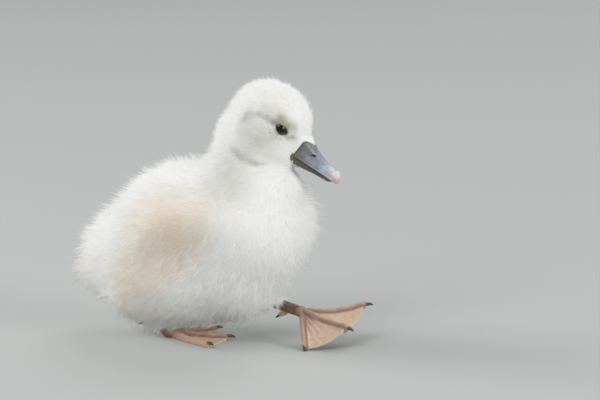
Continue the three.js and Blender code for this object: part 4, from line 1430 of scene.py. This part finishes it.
def coat_piece(name, chosen, material):
    """One mesh of the chosen tufts."""
    count = len(chosen)
    index = np.arange(count, dtype=np.int32)[:, None]
    mesh = bpy.data.meshes.new(name)
    mesh.vertices.add(count * CORNERS)
    mesh.vertices.foreach_set("co", spikes[chosen].astype(np.float32).ravel())
    mesh.loops.add(count * len(PATTERN))
    mesh.loops.foreach_set("vertex_index", (index * CORNERS + PATTERN).astype(np.int32).ravel())
    mesh.polygons.add(count * len(FACES))
    starts = np.cumsum([0] + SIDES[:-1])
    mesh.polygons.foreach_set("loop_start", (index * len(PATTERN) + starts).astype(np.int32).ravel())
    mesh.update(calc_edges=True)
    places = root_map[chosen]
    low, high = places.min(0), places.max(0)
    places = PATCH + (1 - 2 * PATCH) * (places - low) / (high - low)
    layer = mesh.uv_layers.new(name=BAKE_MAP)
    layer.uv.foreach_set("vector", (places[:, None] + PATCH * PATCH_SHAPE[PATTERN]).astype(np.float32).ravel())
    give(mesh, "tint", np.repeat(tint[chosen], CORNERS))
    give(mesh, "tipward", np.tile([0, 0, 0, KNEE, KNEE, KNEE, 1], count))
    mesh.validate()
    mesh.shade_smooth()
    own = unit(numbers(mesh.vertices, "normal", 3))
    under = np.repeat(out_way[chosen], CORNERS, axis=0)
    turned_away = (own * under).sum(1, keepdims=True).clip(-1, 0)  # the underside of a tuft keeps more of its own
    share_own = OWN_SHADING * (1 - turned_away)
    mesh.normals_split_custom_set_from_vertices(unit(own * share_own + under * (1 - share_own)))
    mesh.materials.append(material)
    piece = bpy.data.objects.new(name, mesh)
    bpy.context.collection.objects.link(piece)
    piece.visible_shadow = piece.visible_diffuse = False
    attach(piece, "root")
    return piece


MOST_TUFTS = 19500  # of ten triangles each, in one piece
groups = {"head": ("head",), "neck": ("neck",), "body": ("trunk", "tail", "thigh_left", "thigh_right")}
groups.update({node: (node,) for node in ("wing_left", "wing_right")})
for group, nodes in groups.items():
    member = np.nonzero(np.isin(root_region, [FLESH.index(node) for node in nodes]))[0]
    member = member[np.argsort(root[member, 0], kind="stable")]
    for i, part in enumerate(np.array_split(member, -(-len(member) // MOST_TUFTS))):
        slot = "wing_down" if group.startswith("wing") else "down"
        piece = coat_piece(f"down_{group}_{i + 1}", part, coats[slot])
        print(piece.name, len(part), "tufts")

# %% [markdown]
# ## Legs and feet
# Below the down a cygnet's leg is bare. The shank carries a row of plates down its front, the toes carry smaller
# ones, and the web between them is thin, netted skin. We melt each foot's solids into one surface at a third of
# a millimetre, rub out the facets, and then raise knuckles and plates along the line of each toe. A foot is a
# sheet seen from above, so how far a point is from a toe is measured on the floor plan.

# %% feet
LIMB_VOXEL = 0.34 * MM
LIMB_SWELL = 0.25 * MM
SHANK_SINK = 0.15 * MM  # less than it was swollen, so its plates stand a hair proud
PLATE, PLATE_HEIGHT, SHANK_PLATE_HEIGHT = 1.45, 0.16, 0.18  # mm
KNUCKLES = (0.3, 0.6, 0.86)  # shares of a toe
WEB_RIPPLE, RIPPLE_SIZE = 0.22, 1.7  # mm
WEB_FOLD, FOLDS_ROUND = 0.45, 40  # mm high, and how many a full turn round the ankle would hold
OFF_FLOOR = 0.02 * MM
LEGS = {
    "left": (at("shank_left", 0.05, 0.81, 0.56), at("foot_left", 0.09, 0.6, 0.74)),
    "right": (at("shank_right", 0.13, 0.24, 0.9), at("foot_right", 0.09, 0.4, 0.49)),
}
TOES = ("inner", "middle", "outer")


def plan(point):
    return Vector((point.x, point.y, 0))


def plates(millimetres):
    """1 on a plate, falling to 0 in the groove between two."""
    return abs(math.sin(math.pi * millimetres / PLATE)) ** 0.5


def finish_limb(piece, sink, shape):
    """Smooths and sinks a melted limb, and raises each vertex by shape(point, normal), which also gives its marks."""
    bm = bmesh.new()
    bm.from_mesh(piece.data)
    relax(bm, bm.verts, 5)
    bm.normal_update()
    found = {"plate": [], "toe": [], "ankle": []}
    for v in bm.verts:
        rise, groove, toe, ankle = shape(v.co, v.normal)
        v.co += v.normal * (rise * MM - sink)
        v.co.z = max(v.co.z, OFF_FLOOR)
        found["plate"].append(groove)
        found["toe"].append(toe)
        found["ankle"].append(ankle)
    bm.to_mesh(piece.data)
    bm.free()
    for name, values in found.items():
        give(piece.data, name, values)
    piece.data.shade_smooth()
    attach(piece, "root")


feet, shanks = [], []
for way, (hock, root_of_toes) in LEGS.items():
    tips = [middle(f"claw_{way}_{toe}") for toe in TOES]

    def foot_shape(point, normal):
        """Toes with knuckles and plates, and between them a web with ripples and folds."""
        top = smooth_step(0.1, 0.6, normal.z)
        best, groove, rise = 0, 0, 0
        for tip in tips:
            t, away = on_line(plan(point), plan(root_of_toes), plan(tip))
            on_toe = hump(away, 2.5 - 0.8 * min(max(t, 0), 1)) * smooth_step(-0.05, 0.08, t)
            mm = t * (tip - root_of_toes).length / MM
            bulge = sum(hump((t - k) * 30, 1.6) for k in KNUCKLES)
            if on_toe > best:
                best, groove = on_toe, (1 - plates(mm)) * top * on_toe
                rise = on_toe * (0.6 + 0.3 * bulge + PLATE_HEIGHT * (plates(mm) - 0.6) * top)
        crease = noise.noise(point / (RIPPLE_SIZE * MM)) * WEB_RIPPLE * (1 - best)
        bearing = math.degrees(math.atan2(point.y - root_of_toes.y, point.x - root_of_toes.x))
        out = (plan(point) - plan(root_of_toes)).length / MM
        crease += WEB_FOLD * math.sin(math.radians(bearing * FOLDS_ROUND)) * (1 - best) * hump(out - 10, 9)
        from_ankle = (point - root_of_toes).length / MM
        return rise + crease + 0.15, groove, max(best, hump(from_ankle, 5)), hump(from_ankle, 9)

    foot = melted("foot_skin_" + way, (f"foot_{way}", f"hind_toe_{way}"), LIMB_SWELL, LIMB_VOXEL)
    finish_limb(foot, LIMB_SWELL, foot_shape)
    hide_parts(f"foot_{way}", f"hind_toe_{way}")
    feet.append(foot)

    front = head_ahead.cross(Vector((0, 0, 1))).cross(root_of_toes - hock).normalized()

    def shank_shape(point, normal):
        """Plates, which stand out most down its front."""
        t, _ = on_line(point, hock, root_of_toes)
        mm = t * (root_of_toes - hock).length / MM
        facing = smooth_step(-0.7, 0.5, -normal.dot(front) if front.z < 0 else normal.dot(front))
        rise = SHANK_PLATE_HEIGHT * (plates(mm) - 0.6) * (0.35 + 0.65 * facing)
        return rise, (1 - plates(mm)) * facing, 0, 0

    shank = melted("shank_skin_" + way, (f"shank_{way}",), LIMB_SWELL, LIMB_VOXEL)
    finish_limb(shank, SHANK_SINK, shank_shape)
    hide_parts(f"shank_{way}")
    shanks.append(shank)
    print(way, "foot and shank:", len(foot.data.polygons), len(shank.data.polygons), "faces")

# %% [markdown]
# Each claw is a short curved horn, a little hooked, that grows from under the end of its toe.

# %% claws
CLAW_CURVE = ((-3.6, 0.0, 0.0), (-1.2, 0.0, 0.3), (0.7, 0.0, 0.15), (1.95, 0.0, -0.45))
claw_radius = through((0, 0.7), (0.3, 0.95), (0.6, 0.68), (0.9, 0.3), (1, 0.08))
HIND_CLAW, HIND_TOE_AT = 0.72, 0.78  # its share of a front claw's size, and where its toe leaves the shank
claws = []
for way, (hock, root_of_toes) in LEGS.items():
    for toe in (*TOES, "hind"):
        node = f"claw_{way}_{toe}"
        size_of_claw = HIND_CLAW if toe == "hind" else 1.0
        start = hock + (root_of_toes - hock) * HIND_TOE_AT if toe == "hind" else root_of_toes
        ahead = (middle(node) - start).normalized()
        across = Vector((0, 0, 1)).cross(ahead).normalized()
        above = ahead.cross(across)
        path = [middle(node) + (ahead * u + across * v + above * w) * size_of_claw * MM for u, v, w in CLAW_CURVE]
        lay_claw = functools.partial(along_path, path, lambda t: claw_radius(t) * size_of_claw * MM, across)
        bm = tube(around=20, rings=26, lay_corner=lay_claw)
        for v in bm.verts:
            v.co.z = max(v.co.z, OFF_FLOOR)
        claw = new_object("horn_" + node, bm)
        give(claw.data, "ahead", [((v.co - middle(node)).dot(ahead) / MM + 2.2) / 4 for v in claw.data.vertices])
        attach(claw, "root")
        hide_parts(node)
        claws.append(claw)
print("claws:", len(claws))

# %% [markdown]
# ## Skin of the legs
# The bare skin of this young swan's feet is a warm brown: dark on the shank, paler and pinker where the web is
# thin, and darkest in the grooves. The flanks of the toes are painted darker, as shade, and their crests paler and
# pinker, as a painted highlight. The net of tiny scales is a Voronoi pattern, put in a group that gives one value,
# and used for both colour and height.

# %% scales, as a node group
scale_group, given, result = new_group("fine_scales", {"Size": ("Float", 1500.0)}, {"Net": ("Float", None)})
place = add(scale_group, "ShaderNodeTexCoord").outputs["Object"]
cells = add(scale_group, "ShaderNodeTexVoronoi", {"Vector": place, "Scale": given["Size"]}, feature="DISTANCE_TO_EDGE")
scale_group.links.new(between(scale_group, cells.outputs["Distance"], 0.0, 0.16), result["Net"])

# %% leg materials
# the toes' flanks are painted shade and their crests a painted highlight
WEB, TOE_SIDE_SHADE, PLATES, CREST_HIGHLIGHT = srgb(216, 188, 164), srgb(138, 108, 94), srgb(170, 138, 120), srgb(212, 178, 154)
LEG_LOOKS = {
    # colours from web or shank to the crest of a toe, with painted shade on the toes' flanks and a painted highlight on
    # their crests, colour of the grooves, scale of the net
    "foot_skin": (((0.15, WEB), (0.45, TOE_SIDE_SHADE), (0.78, PLATES), (1.0, CREST_HIGHLIGHT)), srgb(80, 60, 50), 1300.0),
    "leg_skin": (((0.0, srgb(126, 98, 84)), (1.0, TOE_SIDE_SHADE)), srgb(66, 48, 38), 1500.0),
}
leg_materials = {}
for name, (stops, groove, net_size) in LEG_LOOKS.items():
    leg_materials[name], nodes, shader = new_material(name, Roughness=0.42, Specular_IOR_Level=0.45)
    spots = add_group(nodes, grain_group, Cloud_Size=420.0, Grain_Size=3200.0)
    net = add_group(nodes, scale_group, Size=net_size)["Net"]
    # across each toe: web, then painted shade on its flank, then a painted highlight on its crest
    colour = ramp(nodes, attribute(nodes, "toe"), *stops)
    colour = tinge(nodes, colour, attribute(nodes, "ankle"), 0.7, srgb(126, 94, 80))
    colour = cloud(nodes, colour, spots["Clouds"], 0.45, 0.7, 0.35, srgb(190, 140, 112))
    colour = tinge(nodes, colour, calc(nodes, "SUBTRACT", 1.0, net), 0.2, groove)
    colour = tinge(nodes, colour, attribute(nodes, "plate"), 0.5, groove)
    nodes.links.new(colour, shader.inputs["Base Color"])
    height = calc(nodes, "ADD", calc(nodes, "MULTIPLY", net, 0.7), calc(nodes, "MULTIPLY", spots["Grain"], 0.3))
    roughen(nodes, shader, height, 0.08)

claw_material, nodes, shader = new_material("claw", Roughness=0.35)
spots = add_group(nodes, grain_group, Cloud_Size=700.0, Grain_Size=3200.0)
stops = (0.0, srgb(118, 96, 80)), (0.5, srgb(72, 60, 52)), (1.0, srgb(52, 44, 40))
colour = ramp(nodes, attribute(nodes, "ahead"), *stops)
colour = cloud(nodes, colour, spots["Clouds"], 0.4, 0.7, 0.35, srgb(130, 112, 96))
nodes.links.new(colour, shader.inputs["Base Color"])
roughen(nodes, shader, spots["Grain"], 0.04)

for material, pieces in (
    (leg_materials["foot_skin"], feet),
    (leg_materials["leg_skin"], shanks),
    (claw_material, claws),
):
    for piece in pieces:
        piece.data.materials.append(material)
print("leg materials:", *leg_materials, claw_material.name)
